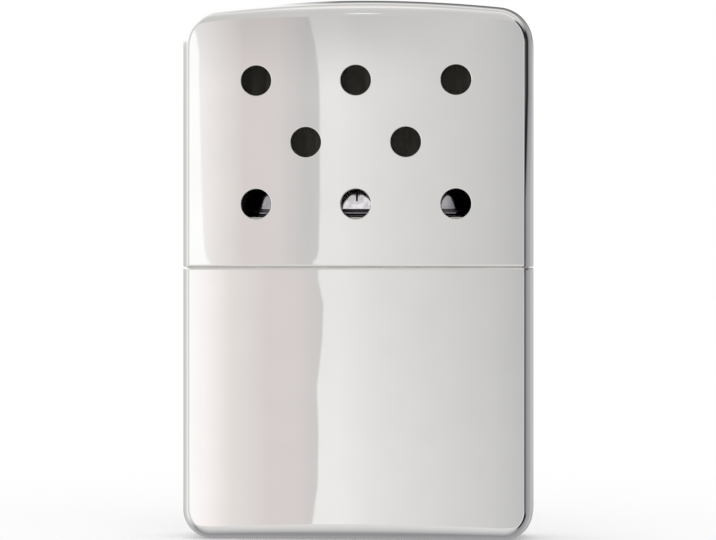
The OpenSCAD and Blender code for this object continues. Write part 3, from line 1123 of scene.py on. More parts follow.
@dataclass
class Tank(Assembly):
    """The fuel tank: drawn case, cap with the lid's collar, solder seam, and wadding."""

    form: CaseForm
    body: Body = Body.TANK
    rim_z: float = 38.425
    side_steps: int = 38
    corner_steps: int = 20
    foot_steps: int = 60
    block_z: tuple[float, float] = (33.6, 7.5)
    cap_inset: float = 0.55
    cap_wall: float = 0.4
    deck_z: float = 45.8
    skirt_z: float = 34.5
    bend: float = 0.8
    sheared: float = 0.06
    deck_rows: int = 10
    neck_run: float = 10.75
    neck_hole: float = 3.25
    solder_inset: tuple[float, float] = (0.5, 0.95)
    solder_gap: float = 0.05
    solder_sag: float = 0.45
    layers: int = 4
    layer_gap: float = 0.1
    wadding_depth: float = 9.6
    wadding_edge: float = 1.64
    wadding_top: float = 44.7
    wadding_round: float = 1.1  # width of a layer's rounded edge
    wadding_nap: float = 0.08  # the lumps stay within this

    def outline(self, start_z: float) -> Edge:
        """The case's outline from the left rim round the foot to the right rim.

        Args:
            start_z: height at which the rim's rounding starts.

        Returns:
            The outline's stations.
        """
        half, corner = self.form.width / 2, self.form.bottom_corner
        corner_x = half - corner
        return Edge.chain(
            [
                Edge.line((-half, start_z), (-half, corner), (-1, 0), self.side_steps),
                Edge.arc(-corner_x, corner, corner, 180, 270, self.corner_steps),
                Edge.line((-corner_x, 0), (corner_x, 0), (0, -1), self.foot_steps),
                Edge.arc(corner_x, corner, corner, 270, 360, self.corner_steps),
                Edge.line((half, corner), (half, start_z), (1, 0), self.side_steps),
            ]
        )

    def case(self) -> None:
        """Builds the drawn case, plated outside and bare inside."""
        start_z = self.rim_z - CaseHalf.lip_up
        half = CaseHalf(self.form, self.outline(start_z), self.rim_z, -1, self.block_z)
        skin = Skin()
        half.shell(skin, pierced=False)
        case = skin.build("tank_case", [self.form])
        self.place(case, Slot.CHROME, ["body_shell"], CHROME, INSIDE)

    def loops(self, inset: float, cut: float, bend: float, top: float) -> list[Array]:
        """One side of the cap's sheet: loops up the skirt and over the bend, a quarter circle.

        Args:
            inset: distance of the skirt inside the case's outer skin.
            cut: how much further in the skirt's foot starts, for its sheared edge.
            bend: the quarter circle's radius.
            top: the deck's height on this side.

        Returns:
            The loops, from the foot to the deck.
        """
        straight = np.linspace(self.skirt_z + 1, self.deck_z - self.bend - 0.3, 6)
        plan = [(inset + cut, self.skirt_z), (inset, self.skirt_z + abs(cut))]
        plan += [(inset, z) for z in straight]
        turn = np.radians(np.linspace(0, 90, 8))
        plan += [(inset + bend * (1 - math.cos(t)), top - bend * (1 - math.sin(t))) for t in turn]
        return [self.form.ring(i, z) for i, z in plan]

    def cap(self) -> None:
        """Builds the cap: a skirt that is the lid's collar, a bend, and a deck with the neck's hole.

        The skin is one closed band of loops. Up the skirt and over the bend, each loop is the
        case's plan at an inset; across the deck, points move straight from that loop to an oval
        at the same share of the way round.
        """
        form, wall, cut = self.form, self.cap_wall, self.sheared
        outer = self.loops(self.cap_inset, cut, self.bend, self.deck_z)
        inner = self.loops(self.cap_inset + wall, -cut, self.bend - wall, self.deck_z - wall)
        way = np.cumsum(np.linalg.norm(np.diff(outer[-1], axis=0, append=outer[-1][:1]), axis=1))
        share = np.concatenate([[0], way[:-1]]) / way[-1]
        share = share - share[form.face_steps // 2]
        oval, move = Oval(self.neck_run), np.linspace(0, 1, self.deck_rows + 1)[1:, None, None]
        top = outer[-1] * (1 - move) + oval.at(share, self.neck_hole + cut, self.deck_z) * move
        under = inner[-1] * (1 - move) + oval.at(share, self.neck_hole + cut, self.deck_z - wall) * move
        hole = [oval.at(share, self.neck_hole, self.deck_z - d) for d in (cut, wall - cut)]
        rows = [*outer, *top, *hole, *under[::-1], *inner[::-1], outer[0]]
        skin = Skin()
        skin.add(np.stack(rows), 0, around=True)
        cap = skin.build("tank_cap_deck", [])
        self.place(cap, Slot.SATIN, ["tank_cap"], SATIN)

    def solder(self) -> None:
        """Builds the solder under the skirt: a fillet that sags between case and cap.

        Its top is flat, and below it the height falls by the sag times the 1.6th power of the
        share of the way from the cap to the case.
        """
        near, far = self.solder_inset
        top = self.skirt_z - self.solder_gap
        t = np.linspace(0, 1, 7)
        inset = np.concatenate([near + (far - near) * t, far - (far - near) * t])
        z = np.concatenate([np.full(7, top), top - self.solder_sag * t**1.6 - self.solder_gap])
        rows = [self.form.ring(i, h) for i, h in zip(inset, z)]
        skin = Skin()
        skin.add(np.stack([*rows, rows[0]]), 0, around=True)
        self.place(skin.build("tank_solder_seam"), Slot.SOLDER, ["tank_solder_ring"], SOLDER)

    def wadding(self) -> None:
        """Builds the four layers of wadding, each a soft slab with lumpy faces.

        Across a layer, x is a share of the width at that height, which the lower corners narrow.
        The thickness falls off to the edge as a quarter ellipse over the edge's width, and sine
        lumps stand on it.
        """
        names = ["wadding_front", "wadding_core_front", "wadding_core_back", "wadding_back"]
        half, low, high = self.form.width / 2 - self.wadding_edge, self.wadding_edge, self.wadding_top
        corner = self.form.bottom_corner - self.wadding_edge
        thick = (self.wadding_depth - (self.layers - 1) * self.layer_gap) / self.layers
        nap, share = self.wadding_nap, np.sin(np.radians(np.linspace(-90, 90, 71)))
        for number, node in enumerate(names):
            z = (low + high) / 2 + (high - low) / 2 * share[:, None]
            cut = np.maximum(0, low + corner - z)
            width = half - corner + np.sqrt(np.maximum(0, corner**2 - cut**2))
            x = width * share[None, :]
            z = z + 0 * x
            inside = np.minimum(np.minimum(width - np.abs(x), high - z), z - low)
            fall = np.sqrt(np.maximum(0, 1 - (1 - np.minimum(inside / self.wadding_round, 1)) ** 2))
            middle = -self.wadding_depth / 2 + number * (thick + self.layer_gap) + thick / 2
            skin = Skin()
            for side in (-1, 1):
                flat = np.stack([x, np.full_like(x, middle + side), z], axis=-1)
                lump = lumps(flat, 5.0, 0.035, 20 + 2 * number + side) + lumps(flat, 1.6, 0.02, 40 + number)
                y = middle + side * fall * (thick / 2 - nap + np.clip(lump, -nap, nap))
                skin.add(np.stack([x, y, z], axis=-1), 0)
            piece = skin.build(f"wadding_layer_{number + 1}")
            self.place(piece, Slot.WADDING, [node], COTTON)

    def build(self) -> None:
        """Builds the tank's pieces."""
        self.case()
        self.cap()
        self.solder()
        self.wadding()


@dataclass(frozen=True)
class Gauze:
    """Plain-woven wire cloth, cut to an oval."""

    oval: Oval
    radius: float
    wire: float = 0.1
    pitch: float = 0.5
    ring: int = 6

    def weave(self, skin: Skin, z: float) -> None:
        """Adds the wires of both directions.

        A wire's height is half its thickness times the cosine of pi * way / pitch, up at even
        crossings and down at odd ones, and the wires that cross it do the opposite. A wire ends
        at the oval, with its ends closed.

        Args:
            skin: the mesh in the making.
            z: height of the cloth's middle.
        """
        run, pitch, tight = self.oval.run, self.pitch, self.radius - self.wire / 2
        turn = np.arange(self.ring) * 2 * np.pi / self.ring
        for lengthwise in (False, True):
            count = int((tight if lengthwise else run + tight) / pitch - 0.2)
            number = np.arange(-count, count + 1)
            offset = number * pitch
            if lengthwise:
                half = run + np.sqrt(tight**2 - offset**2)
            else:
                half = np.sqrt(np.maximum(0.01, tight**2 - np.maximum(0, np.abs(offset) - run) ** 2))
            steps = int(4 * half.max() * 2 / pitch)
            t = np.linspace(-1, 1, steps + 1)
            t = np.concatenate([[-1], t, [1]])
            thick = np.full(len(t), self.wire / 2)
            thick[[0, -1]] = 0
            way = half[:, None] * t
            up = 0.5 * self.wire * np.cos(np.pi * way / pitch) * np.where(number % 2 == 0, 1, -1)[:, None]
            up = z + (-up if lengthwise else up)
            across = offset[:, None, None] + thick[None, :, None] * np.cos(turn)
            along = way[:, :, None] + 0 * across
            height = up[:, :, None] + thick[None, :, None] * np.sin(turn)
            grid = np.stack([along, across, height] if lengthwise else [across, along, height], axis=-1)
            skin.add(grid, 0, around=True)


@dataclass
class FillerNeck(Assembly):
    """The oval neck on the tank's cap, with the gauze and the felt that feed the burner."""

    body: Body = Body.TANK
    run: float = 10.75
    radius: float = 3.2
    wall: float = 0.4
    flange_z: float = 45.0
    flange: float = 0.35
    flange_width: float = 1.0
    top_z: float = 49.8
    gauze_z: float = 48.3
    felt_z: tuple[float, float] = (44.8, 48.2)
    clearance: float = 0.1

    def build(self) -> None:
        """Builds the neck, its gauze and its felt."""
        oval, r, top = Oval(self.run), self.radius, self.flange_z + self.flange
        corners = [
            (r - self.wall, self.flange_z),
            (r + self.flange_width, self.flange_z),
            (r + self.flange_width, top),
            (r, top),
            (r, self.top_z),
            (r - self.wall, self.top_z),
        ]
        skin = Skin()
        skin.add(oval.sweep(soften(np.array(corners), 0.13)), 0, around=True)
        self.place(skin.build("filler_neck"), Slot.BRASS, ["neck"], BRASS)

        inside = r - self.wall - self.clearance
        skin = Skin()
        Gauze(oval, inside).weave(skin, self.gauze_z + 0.1)
        self.place(skin.build("neck_wire_cloth"), Slot.GAUZE, ["neck_gauze"], WIRE)

        felt = FibrePad(oval, inside, self.felt_z, edge=0.5, seed=3).build("neck_felt_plug")
        self.place(felt, Slot.FELT, ["neck_felt"], FELT)


@dataclass(frozen=True)
class FibrePad:
    """An oval pad of matted fibre with soft, uneven faces."""

    oval: Oval
    radius: float
    heights: Sequence[float]
    edge: float
    seed: int
    rows: int = 10
    nap: float = 0.06  # the lumps stay within this, in mm

    def build(self, name: str) -> bpy.types.Object:
        """Builds the pad.

        From the middle line out, the radius grows to the pad's own; over the last part the height
        falls off as a quarter ellipse, and sine lumps raise and sink the surface.

        Args:
            name: the object's name.

        Returns:
            The pad.
        """
        low, high = self.heights
        turn = np.radians(np.linspace(0, 90, 7))[1:]
        flat = np.linspace(0, self.radius - self.edge, self.rows + 1)
        radius = np.concatenate([flat, self.radius - self.edge * (1 - np.sin(turn))])
        drop = np.concatenate([0 * flat, self.edge * (1 - np.cos(turn))])
        profile = [np.stack([radius, high - drop], 1), np.stack([radius[::-1], low + drop[::-1]], 1)]
        grid = self.oval.sweep(np.concatenate(profile))
        size = np.concatenate([np.minimum(1, (self.radius - radius) / self.edge)] * 2)
        size[len(radius) :] = size[: len(radius)][::-1]
        sign = np.repeat([-1.0, 1.0], len(radius))
        rough = lumps(grid, 1.8, 0.04, self.seed) + lumps(grid, 0.7, 0.02, self.seed + 1)
        grid[..., 2] += sign[:, None] * (self.nap + np.clip(rough, -self.nap, self.nap)) * size[:, None]
        skin = Skin()
        skin.add(grid, 0, around=True)
        return skin.build(name)


@dataclass
class Burner(Assembly):
    """The pull-off burner: foot and flange, hood with its window, catalyst, gauzes and springs."""

    body: Body = Body.BURNER
    run: float = 11.75
    radius: float = 4.6
    flange_z: float = 46.0
    flange_radius: float = 5.0
    flange: float = 0.27
    foot_radius: float = 4.0
    foot: float = 1.6
    sheet: float = 0.35
    hood_z: tuple[float, float] = (46.7, 54.0)
    lean: float = 11.0
    window: float = 2.18
    bend: float = 0.55
    bars: int = 4
    bar: float = 0.8
    slit: float = 0.2
    slit_z: tuple[float, float] = (47.84, 52.14)
    spring: tuple[float, float, float] = (2.4, 3.0, 0.2)
    # Radius and height of the gauzes, of the pad between them, and of the frame that holds them.
    top_cloth: tuple[float, float] = (2.8, 53.4)
    lower_cloth: tuple[float, float] = (3.36, 50.5)
    pad: tuple[float, float, float] = (2.83, 50.75, 53.15)
    frame: tuple[float, float, float, float] = (2.7, 3.45, 49.95, 50.25)

    def base(self) -> None:
        """Builds the foot's tube and the flange that rests over the deck."""
        inside, top = self.foot_radius - self.sheet, self.flange_z + self.flange
        corners = [
            (inside, self.flange_z),
            (self.flange_radius, self.flange_z),
            (self.flange_radius, top),
            (self.foot_radius, top),
            (self.foot_radius, self.flange_z + self.foot),
            (inside, self.flange_z + self.foot),
        ]
        outline = soften(np.array(corners), 0.09)
        skin, oval, start = Skin(), Oval(self.run), 14  # the row where the tube leaves the flange
        skin.add(oval.sweep(outline[: start + 1]), 0, around=True)
        # The tube's slot takes the foot's painted shade.
        skin.add(oval.sweep(outline[start:]), 1, around=True)
        self.place(skin.build("burner_foot"), Slot.STEEL, ["burner_base"], STEEL, FOOT_PAINTED_SHADE)

    def hood(self) -> None:
        """Builds the hood from one sheet: leaning wall, bent rim, window with bars, two slits.

        The wall's radius falls with the height by the tangent of the lean, the bend is a
        quadratic curve about the upper corner, and the rim runs in flat to the window. Each bar
        carries the front rim's stations straight over to the back rim's. The sheet's thickness
        is set inwards.
        """
        low, high = self.hood_z
        slope = math.tan(math.radians(self.lean))
        reach = self.run + self.window
        pitch = 2 * reach / (self.bars + 1)
        middles = [-reach + pitch * (n + 1) for n in range(self.bars)]
        marks = sorted([m + s * self.bar / 2 for m in middles for s in (-1, 1)] + [-self.slit / 2, self.slit / 2])
        oval = Oval(self.run, tuple(marks))
        slit_low, slit_high = self.slit_z
        wall = [low, low + 0.08, 47.2, slit_low, 48.6, 49.6, 50.6, 51.6, slit_high, 52.8, high - self.bend]
        z = np.array(wall)
        top = self.radius - (high - low) * slope
        t = np.linspace(0, 1, 7)[1:]
        start = (self.radius - (z[-1] - low) * slope, z[-1])
        curve_r = (1 - t) ** 2 * start[0] + 2 * t * (1 - t) * top + t**2 * (top - self.bend)
        curve_z = (1 - t) ** 2 * start[1] + 2 * t * (1 - t) * high + t**2 * high
        rim = np.array([self.window + 0.2, self.window])
        radius = np.concatenate([self.radius - (z - low) * slope, curve_r, rim])
        height = np.concatenate([z, curve_z, np.full(2, high)])
        grid = oval.sweep(np.stack([radius, height], axis=1))
        x, nx, _ = oval.stations()
        ahead = np.roll(x, -1)
        straight = (np.abs(nx) < 1e-9) & (np.abs(x - ahead) > 1e-9)
        in_slit = straight & (np.maximum(np.abs(x), np.abs(ahead)) < self.slit / 2 + 1e-6)
        row = (height[:-1] > self.slit_z[0] - 1e-6) & (height[1:] < self.slit_z[1] + 1e-6)
        keep = ~(row[:, None] & in_slit[None, :])
        skin = Skin()
        skin.add(grid, 0, around=True, keep=keep)
        front = grid[-1][(np.abs(nx) < 1e-9) & (grid[-1][:, 1] < 0)]
        front = np.concatenate([front, [[self.run, -self.window, high]]])
        for middle in middles:
            held = front[np.abs(front[:, 0] - middle) < self.bar / 2 + 1e-6]
            t = np.linspace(-1, 1, 7)[:, None, None]
            skin.add(held[None] * np.array([1, 0, 1]) + t * np.array([0, self.window, 0]), 0)
        hood = skin.build("burner_hood_shell", weigh=False)
        thickness = hood.modifiers.new("sheet", "SOLIDIFY")
        thickness.thickness, thickness.offset, thickness.use_even_offset = self.sheet * MM, -1, True
        edges = hood.modifiers.new("sheared_edges", "BEVEL")
        edges.width, edges.segments, edges.limit_method = 0.05 * MM, 2, "ANGLE"
        edges.angle_limit = math.radians(50)
        self.place(hood, Slot.STEEL, ["burner_hood"], STEEL)

    def stack(self) -> None:
        """Builds what the hood holds: two gauzes with the catalyst between, and their frame."""
        oval = Oval(self.run)
        for name, node, (radius, z) in (
            ("catalyst_cloth_top", "burner_top_gauze", self.top_cloth),
            ("catalyst_cloth_lower", "burner_lower_gauze", self.lower_cloth),
        ):
            skin = Skin()
            Gauze(oval, radius).weave(skin, z)
            self.place(skin.build(name), Slot.GAUZE, [node], WIRE)
        radius, *heights = self.pad
        pad = FibrePad(oval, radius, heights, edge=0.35, seed=11).build("catalyst_pad")
        self.place(pad, Slot.CATALYST, ["catalyst_mat"], CATALYST)
        inner, outer, low, high = self.frame
        corners = [(inner, low), (outer, low), (outer, high), (inner, high)]
        skin = Skin()
        skin.add(oval.sweep(soften(np.array(corners), 0.06)), 0, around=True)
        self.place(skin.build("catalyst_frame"), Slot.STEEL, ["burner_retaining_ring"], STEEL)

    def springs(self) -> None:
        """Builds the two bowed leaves that grip the neck.

        A leaf's middle line is an arc in the upright plane; its section, a flat bar with round
        edges, is carried along it, and its ends are closed.
        """
        width, height, thick = self.spring
        for side, node in ((-1, "burner_clip_left"), (1, "burner_clip_right")):
            low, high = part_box(node)
            near, far = (abs(v.x) / MM for v in ((low, high) if side > 0 else (high, low)))
            middle = (low.z + high.z) / 2 / MM
            bow = far - near
            radius = height**2 / (8 * bow) + bow / 2
            arc = math.asin(height / 2 / radius)
            turn = np.linspace(-arc, arc, 25)
            turn = np.concatenate([turn[:1], turn, turn[-1:]])
            size = np.ones(len(turn))
            size[[0, -1]] = 0
            flat = np.array([(-1, -1), (1, -1), (1, 1), (-1, 1)]) * [thick / 2, width / 2]
            section = soften(flat, 0.08)[:-1]
            line = radius - thick / 2
            r = line - section[None, :, 0] * size[:, None]
            x = near + radius - r * np.cos(turn)[:, None]
            y = section[None, :, 1] * size[:, None]
            z = middle + r * np.sin(turn)[:, None]
            skin = Skin()
            skin.add(np.stack([side * x, y, z], axis=-1), 0, around=True)
            name = "foot_spring_left" if side < 0 else "foot_spring_right"
            self.place(skin.build(name), Slot.BRASS, [node], BRASS)

    def build(self) -> None:
        """Builds the burner's pieces."""
        self.base()
        self.hood()
        self.stack()
        self.springs()


# ---- Studio ----


class Tone(Enum):
    """Papers, cloths and flags of the tent, from white to black, and the warmer ones of a card."""

    PAPER = "#fdfdfc"
    BRIGHT = "#f1efed"
    LIT = "#e5e4e2"
    PALE = "#dcdbd9"
    SOFT = "#d2d1cf"
    LIGHT = "#c7c6c4"
    MIDDLE = "#b9b9b9"
    GREY = "#a6a5a7"
    DULL = "#9c9b9e"
    DEEP = "#8f8e92"
    DARK = "#6a6a69"
    FLAG = "#595559"
    BLACK = "#252225"
    ROSE = "#f9f2f1"
    WARM = "#e3ddda"
    BLUSH = "#d5cecd"


@dataclass(frozen=True)
class Tent:
    """The surroundings: plain level light, and what the chrome mirrors of a photographer's tent.

    All angles are in degrees. A direction's bearing is the arctangent of x over -y: 0 straight
    ahead of the front face, and positive to the right. Its pitch is the arctangent of z over -y,
    90 at the zenith. Its rise is its angle above the horizon. Its lean is the arctangent of x over
    z, after x is moved by the sideways part of the camera's look: it tells which part of the
    outline a rolled edge belongs to. A band is four angles: where it starts to show, is full, is
    full still, and has gone; one that is open at an end runs past the last angle there is. A ramp
    has a tone at some angles and blends them in between.
    """

    # Round the horizon by bearing: the walls of the tent, and a dark flag on the right.
    horizon: Ramp = (
        (-180, Tone.MIDDLE), (-152, Tone.LIGHT), (-126, Tone.LIGHT), (-106, Tone.LIT), (-100, Tone.BRIGHT),
        (-97, Tone.BRIGHT), (-93.5, Tone.MIDDLE), (-78, Tone.MIDDLE), (-46, Tone.PAPER), (-14, Tone.PAPER),
        (3, Tone.LIGHT), (50, Tone.LIGHT), (55, Tone.FLAG), (88, Tone.FLAG), (94, Tone.DEEP),
        (104, Tone.DULL), (120, Tone.GREY), (133, Tone.MIDDLE), (180, Tone.MIDDLE),
    )
    # Over the top by pitch, and below the level of the floor.
    dome: Ramp = (
        (-180, Tone.DULL), (-126, Tone.DULL), (-106, Tone.DEEP), (-98, Tone.DEEP), (-80, Tone.GREY),
        (-63, Tone.MIDDLE), (-50, Tone.LIGHT), (-34, Tone.SOFT), (-10, Tone.PALE), (8, Tone.LIGHT),
        (48, Tone.LIGHT), (71, Tone.SOFT), (84, Tone.LIT), (91, Tone.BRIGHT), (103, Tone.LIGHT),
        (111, Tone.LIGHT), (115, Tone.LIT), (120, Tone.LIT), (128, Tone.GREY), (141, Tone.DARK),
        (180, Tone.DARK),
    )
    # Straight ahead by bearing: a grey card, as the lid and as the tank show it, and a bright one.
    lid_card: Ramp = (
        (-11.6, Tone.BRIGHT), (-10.4, Tone.WARM), (-9.5, Tone.BLUSH), (-8.0, Tone.BLUSH), (-6.7, Tone.LIGHT),
        (-6.0, Tone.LIGHT),
    )
    tank_card: Ramp = (
        (-12.0, Tone.PAPER), (-11.2, Tone.ROSE), (-10.1, Tone.WARM), (-8.4, Tone.BLUSH), (-7.1, Tone.BLUSH),
        (-5.7, Tone.LIGHT),
    )
    bright_card: Ramp = (
        (-6.5, Tone.LIT), (-5.3, Tone.LIT), (-3.7, Tone.PALE), (-1.2, Tone.SOFT), (1.4, Tone.LIGHT),
        (3.0, Tone.MIDDLE),
    )
    # The cards' window, and how a card's light falls off towards its top: rise, and the last share.
    cards_bearing: Band = (-13.4, -12.8, 3.4, 4.2)
    cards_rise: Band = (-7, -5.6, 5.6, 7)
    fall_rise: tuple[float, float] = (3.6, 5.5)
    fall: float = 0.3
    grey_fall: float = 0.6  # the grey card's share of the fall
    bright_fall: Change = (-4.5, 0.6, 1.0, 0.1)  # over two bearings, the bright card's share
    tank_gain: Change = (-0.6, -4.2, 1.01, 1.06)  # over two rises, how much brighter for the tank
    lid_rise: Band = (0.0, 0.1, 90, 91)  # the lid shows what lies above the horizon, the tank below
    # The bright card starts at the jump, along a line: rise, and how far it lies to the jump's left.
    jump: Band = (-6.18, -6.12, 180, 181)
    jump_line: Line = (
        (-5.4, 0.396), (-4.4, 0.088), (-3.4, 0.044), (-2.4, 0.11), (-1.4, -0.132), (-0.7, -0.176),
        (-0.15, 0.066), (0.06, 0.022), (0.12, 0.396), (0.22, 0.132), (0.4, 0.022), (1.5, -0.022),
        (3.4, -0.013), (4.0, 0.022), (4.6, 0.176), (5.3, 0.528),
    )
    # The white strip ends along a line too: rise, and how far it lies to the right of its end.
    strip: Band = (-181, -180, -11.35, -11.27)
    strip_line: Line = (
        (-5.4, 0.396), (0.1, 0.396), (0.17, 0.264), (0.25, 0.154), (0.35, 0.11), (0.5, 0.066),
        (0.84, 0.013), (1.5, -0.022), (2.1, -0.066), (3.3, -0.132), (3.9, -0.167), (4.4, -0.158),
        (4.75, -0.264), (5.0, -0.44), (5.4, -0.88),
    )
    line_rise: float = 6.0  # the lines' curves reach from this far below the horizon to above it
    line_reach: float = 1.056  # and this far to either side
    # The flag on the right is blacker above the seam, and the lid's upper half shows it further round.
    lid_flag: Band = (70, 75, 84, 88)
    turn: Change = (1.4, 3.6, 0.0, -20.0)  # over two rises, the angle turned by
    turned_side: Band = (20, 40, 150, 178)
    # Where the dome takes over from the horizon: overhead, and ahead and behind close above it.
    overhead: Band = (22, 46, 90, 91)
    ahead: Band = (-1, 0, 35, 55)
    behind: Band = (140, 160, 180, 181)
    close_above: Band = (4, 7, 90, 91)
    # A black flag beyond the right shoulder, a white panel beyond the left one, and a small lamp
    # that the burner's hood shows behind the middle hole.
    shoulder_bearing: Band = (52, 60, 92, 98)
    shoulder_rise: Band = (6, 14, 48, 58)
    panel_lean: Band = (-86, -76, -5.5, -1.5)
    panel_rise: Band = (3, 8, 60, 74)
    panel_bearing: Band = (-181, -180, -101, -95)
    lamp_bearing: Band = (-5.7, -4.9, -4.1, -3.4)
    lamp_rise: Band = (20, 21.5, 25.5, 27)
    look: float = 0.078  # sideways part of the camera's look

    def colours(self, tree: Tree, angle: Socket, ramp: Ramp) -> Socket:
        """Colours by an angle, along a ramp from the first tone's angle to the last one's.

        Args:
            tree: the world's nodes.
            angle: the angle.
            ramp: angles and tones.

        Returns:
            The colour.
        """
        low, high = ramp[0][0], ramp[-1][0]
        share = add_node(tree, "MapRange", (angle, low, high))
        stops = [((place - low) / (high - low), tone.value) for place, tone in ramp]
        return add_node(tree, "ValToRGB", (share,), stops=stops)

    def within(self, tree: Tree, *limits: tuple[Socket, Band]) -> Socket:
        """A region's share: the product of a climb at each band's start and a fall at its end.

        Args:
            tree: the world's nodes.
            limits: angles, and the band of each.

        Returns:
            1 inside the region and 0 outside.
        """
        share: Link = 1.0
        for angle, band in limits:
            for start, full in ((band[0], band[1]), (band[3], band[2])):
                step = add_node(tree, "MapRange", (angle, start, full))
                share = add_node(tree, "Math", (share, step), operation="MULTIPLY")
        return share

    def line(self, tree: Tree, rise: Socket, points: Line) -> Socket:
        """Bearing by rise, along straight runs through points of both.

        Args:
            tree: the world's nodes.
            rise: the direction's rise.
            points: rises and bearings.

        Returns:
            The bearing.
        """
        top, reach = self.line_rise, self.line_reach
        share = add_node(tree, "MapRange", (rise, -top, top))
        height = add_node(tree, "FloatCurve", {"Value": share})
        curve = height.node.mapping.curves[0]
        for number, (angle, aside) in enumerate(points):
            spot = ((angle + top) / (2 * top), 0.5 + aside / (2 * reach))
            point = curve.points[number] if number < 2 else curve.points.new(*spot)
            point.location, point.handle_type = spot, "VECTOR"
        height.node.mapping.update()
        return add_node(tree, "MapRange", (height, 0.0, 1.0, -reach, reach))

    def walls(self, tree: Tree, bearing: Socket, pitch: Socket, rise: Socket, lean: Socket) -> Socket:
        """What lies all round: horizon and dome, with flags, a white panel and a small lamp.

        Args:
            tree: the world's nodes.
            bearing: the direction's bearing.
            pitch: its pitch.
            rise: its rise.
            lean: its lean.

        Returns:
            The colour.
        """
        high = add_node(tree, "Math", (rise,), operation="ABSOLUTE")
        aside = add_node(tree, "Math", (bearing,), operation="ABSOLUTE")
        turn = add_node(tree, "MapRange", (rise, *self.turn))
        side = self.within(tree, (bearing, self.turned_side))
        turn = add_node(tree, "Math", (turn, side), operation="MULTIPLY")
        turned = add_node(tree, "Math", (bearing, turn), operation="ADD")
        horizon = self.colours(tree, turned, self.horizon)
        flag = self.within(tree, (turned, self.lid_flag), (rise, self.lid_rise))
        horizon = add_node(tree, "MixRGB", (flag, horizon, linear(Tone.BLACK.value)))
        dome = self.colours(tree, pitch, self.dome)
        share = self.within(tree, (high, self.overhead))
        for place in (self.ahead, self.behind):
            close = self.within(tree, (aside, place), (high, self.close_above))
            share = add_node(tree, "Math", (share, close), operation="MAXIMUM")
        seen = add_node(tree, "MixRGB", (share, horizon, dome))
        flag = self.within(tree, (bearing, self.shoulder_bearing), (high, self.shoulder_rise))
        seen = add_node(tree, "MixRGB", (flag, seen, linear(Tone.BLACK.value)))
        panel = self.within(
            tree, (lean, self.panel_lean), (rise, self.panel_rise), (bearing, self.panel_bearing)
        )
        lamp = self.within(tree, (bearing, self.lamp_bearing), (rise, self.lamp_rise))
        white = add_node(tree, "Math", (panel, lamp), operation="MAXIMUM")
        return add_node(tree, "MixRGB", (white, seen, linear(Tone.PAPER.value)))

    def cards(self, tree: Tree, bearing: Socket, rise: Socket) -> Socket:
        """What stands straight ahead: the cards, and the white strip beside the lid's.

        The cards grow darker towards their top, the bright one mostly at its left. A card's tone
        is multiplied by 1 less its share of the fall.

        Args:
            tree: the world's nodes.
            bearing: the direction's bearing.
            rise: its rise.

        Returns:
            The colour.
        """
        lid = self.within(tree, (rise, self.lid_rise))
        lid_card = self.colours(tree, bearing, self.lid_card)
        tank_card = self.colours(tree, bearing, self.tank_card)
        left = add_node(tree, "MixRGB", (lid, tank_card, lid_card))
        right = self.colours(tree, bearing, self.bright_card)
        fall = add_node(
            tree, "MapRange", (rise, *self.fall_rise, 0.0, self.fall), interpolation_type="SMOOTHSTEP"
        )
        bright_fall = add_node(tree, "MapRange", (bearing, *self.bright_fall))
        shares = (self.grey_fall, bright_fall)
        falls = [add_node(tree, "Math", (fall, share), operation="MULTIPLY") for share in shares]
        gains = [add_node(tree, "Math", (1.0, drop), operation="SUBTRACT") for drop in falls]
        left = add_node(tree, "MixRGB", (1.0, left, gains[0]), blend_type="MULTIPLY")
        right = add_node(tree, "MixRGB", (1.0, right, gains[1]), blend_type="MULTIPLY")
        lower = add_node(tree, "MapRange", (rise, *self.tank_gain))
        lower = add_node(tree, "MixRGB", (lid, lower, (1, 1, 1, 1)))
        right = add_node(tree, "MixRGB", (1.0, right, lower), blend_type="MULTIPLY")
        past = add_node(tree, "Math", (bearing, self.line(tree, rise, self.jump_line)), operation="ADD")
        pair = add_node(tree, "MixRGB", (self.within(tree, (past, self.jump)), left, right))
        short = add_node(tree, "Math", (bearing, self.line(tree, rise, self.strip_line)), operation="SUBTRACT")
        strip = self.within(tree, (short, self.strip), (rise, self.lid_rise))
        return add_node(tree, "MixRGB", (strip, pair, linear(Tone.PAPER.value)))

    def build(self) -> None:
        """Makes the world. Only mirrors see the tent; all other rays meet plain white."""
        world = bpy.data.worlds.new("studio_tent")
        bpy.context.scene.world = world
        world.use_nodes = True
        if hasattr(world, "cycles"):
            world.cycles.sampling_method = "NONE"
        tree = world.node_tree
        tree.nodes.clear()
        axes = add_node(tree, "SeparateXYZ", (add_node(tree, "TexCoord", out="Generated"),)).node.outputs
        ahead = add_node(tree, "Math", (axes["Y"], -1.0), operation="MULTIPLY")
        bearing = add_node(tree, "Math", (axes["X"], ahead), operation="ARCTAN2")
        pitch = add_node(tree, "Math", (axes["Z"], ahead), operation="ARCTAN2")
        rise = add_node(tree, "Math", (axes["Z"],), operation="ARCSINE")
        moved = add_node(tree, "Math", (axes["X"], self.look), operation="ADD")
        lean = add_node(tree, "Math", (moved, axes["Z"]), operation="ARCTAN2")
        bearing, pitch, rise, lean = (
            add_node(tree, "Math", (angle,), operation="DEGREES") for angle in (bearing, pitch, rise, lean)
        )
        walls = self.walls(tree, bearing, pitch, rise, lean)
        inside = self.within(tree, (bearing, self.cards_bearing), (rise, self.cards_rise))
        seen = add_node(tree, "MixRGB", (inside, walls, self.cards(tree, bearing, rise)))
        # A tone shows at its own value once the chrome has taken its share.
        mirrored = add_node(tree, "Background", (seen, 1 / linear(CHROME.colour)[0]))
        plain = add_node(tree, "Background", ((1, 1, 1, 1), 1.0))
        glossy = add_node(tree, "LightPath", out="Is Glossy Ray")
        add_node(tree, "OutputWorld", (add_node(tree, "MixShader", (glossy, plain, mirrored)),))


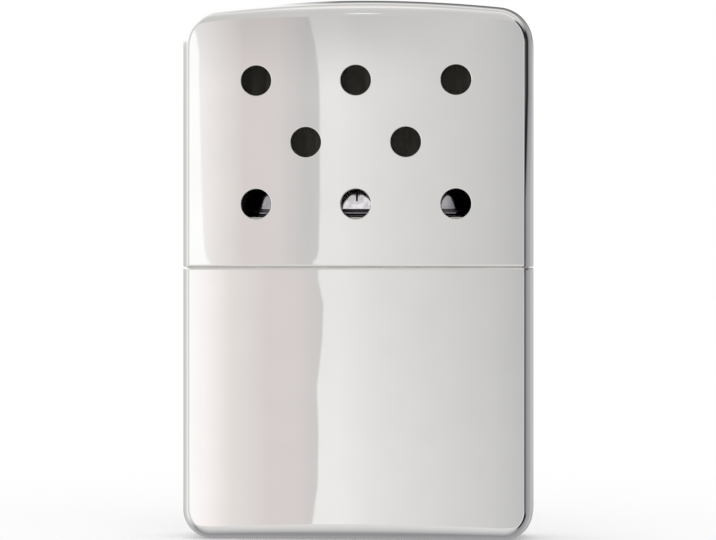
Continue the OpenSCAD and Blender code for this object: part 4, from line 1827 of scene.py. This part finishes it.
@dataclass(frozen=True)
class Studio:
    """Camera, and a floor that keeps the shadow."""

    camera_at: tuple[float, float, float] = (31.22, -398.8, 38.1)
    aim: tuple[float, float, float] = (-0.18, 0.0, 38.1)
    lens: float = 140.8
    floor_half: float = 3000.0
    paper_lift: float = 0.1  # what the camera sees of the paper's own light, to make it white

    def camera(self) -> None:
        """Sets the camera at the photograph's place: a little right of the front, at half height."""
        data = bpy.data.cameras.new("studio_camera")
        data.lens, data.sensor_width = self.lens, 36.0
        data.clip_start, data.clip_end = 0.01, 20.0
        camera = bpy.data.objects.new("studio_camera", data)
        bpy.context.scene.collection.objects.link(camera)
        camera.location = Vector(self.camera_at) * MM
        way = Vector(self.aim) * MM - camera.location
        camera.rotation_euler = way.to_track_quat("-Z", "Y").to_euler()
        bpy.context.scene.camera = camera

    def floor(self) -> None:
        """Lays a white floor. Mirrors look through it to the tent, which holds its colours."""
        half = self.floor_half
        skin = Skin()
        skin.add(np.array([[[-half, -half, 0], [half, -half, 0]], [[-half, half, 0], [half, half, 0]]]), 0)
        floor = skin.build("studio_floor", weigh=False)
        material = bpy.data.materials.new("studio_paper_white")
        material.use_nodes = True
        tree = material.node_tree
        tree.nodes.clear()
        path = add_node(tree, "LightPath").node.outputs
        paper = add_node(tree, "BsdfDiffuse", {"Color": linear("#f4f4f4")})
        lift = add_node(tree, "Math", (path["Is Camera Ray"], self.paper_lift), operation="MULTIPLY")
        lit = add_node(tree, "AddShader", (paper, add_node(tree, "Emission", {"Strength": lift})))
        clear = add_node(tree, "BsdfTransparent")
        add_node(tree, "OutputMaterial", (add_node(tree, "MixShader", (path["Is Glossy Ray"], lit, clear)),))
        floor.data.materials.append(material)

    def build(self) -> None:
        """Sets up camera and floor, with colours shown as written."""
        self.camera()
        self.floor()
        bpy.context.scene.view_settings.view_transform = "Standard"


def main() -> None:
    """Builds the studio and the hand warmer."""
    logging.basicConfig(level=logging.INFO, format="%(name)s: %(message)s")
    form = CaseForm()
    Studio().build()
    Tent().build()
    for assembly in (Tank(form), FillerNeck(), Burner(), Lid(form)):
        assembly.build()


if __name__ == "__main__":
    main()
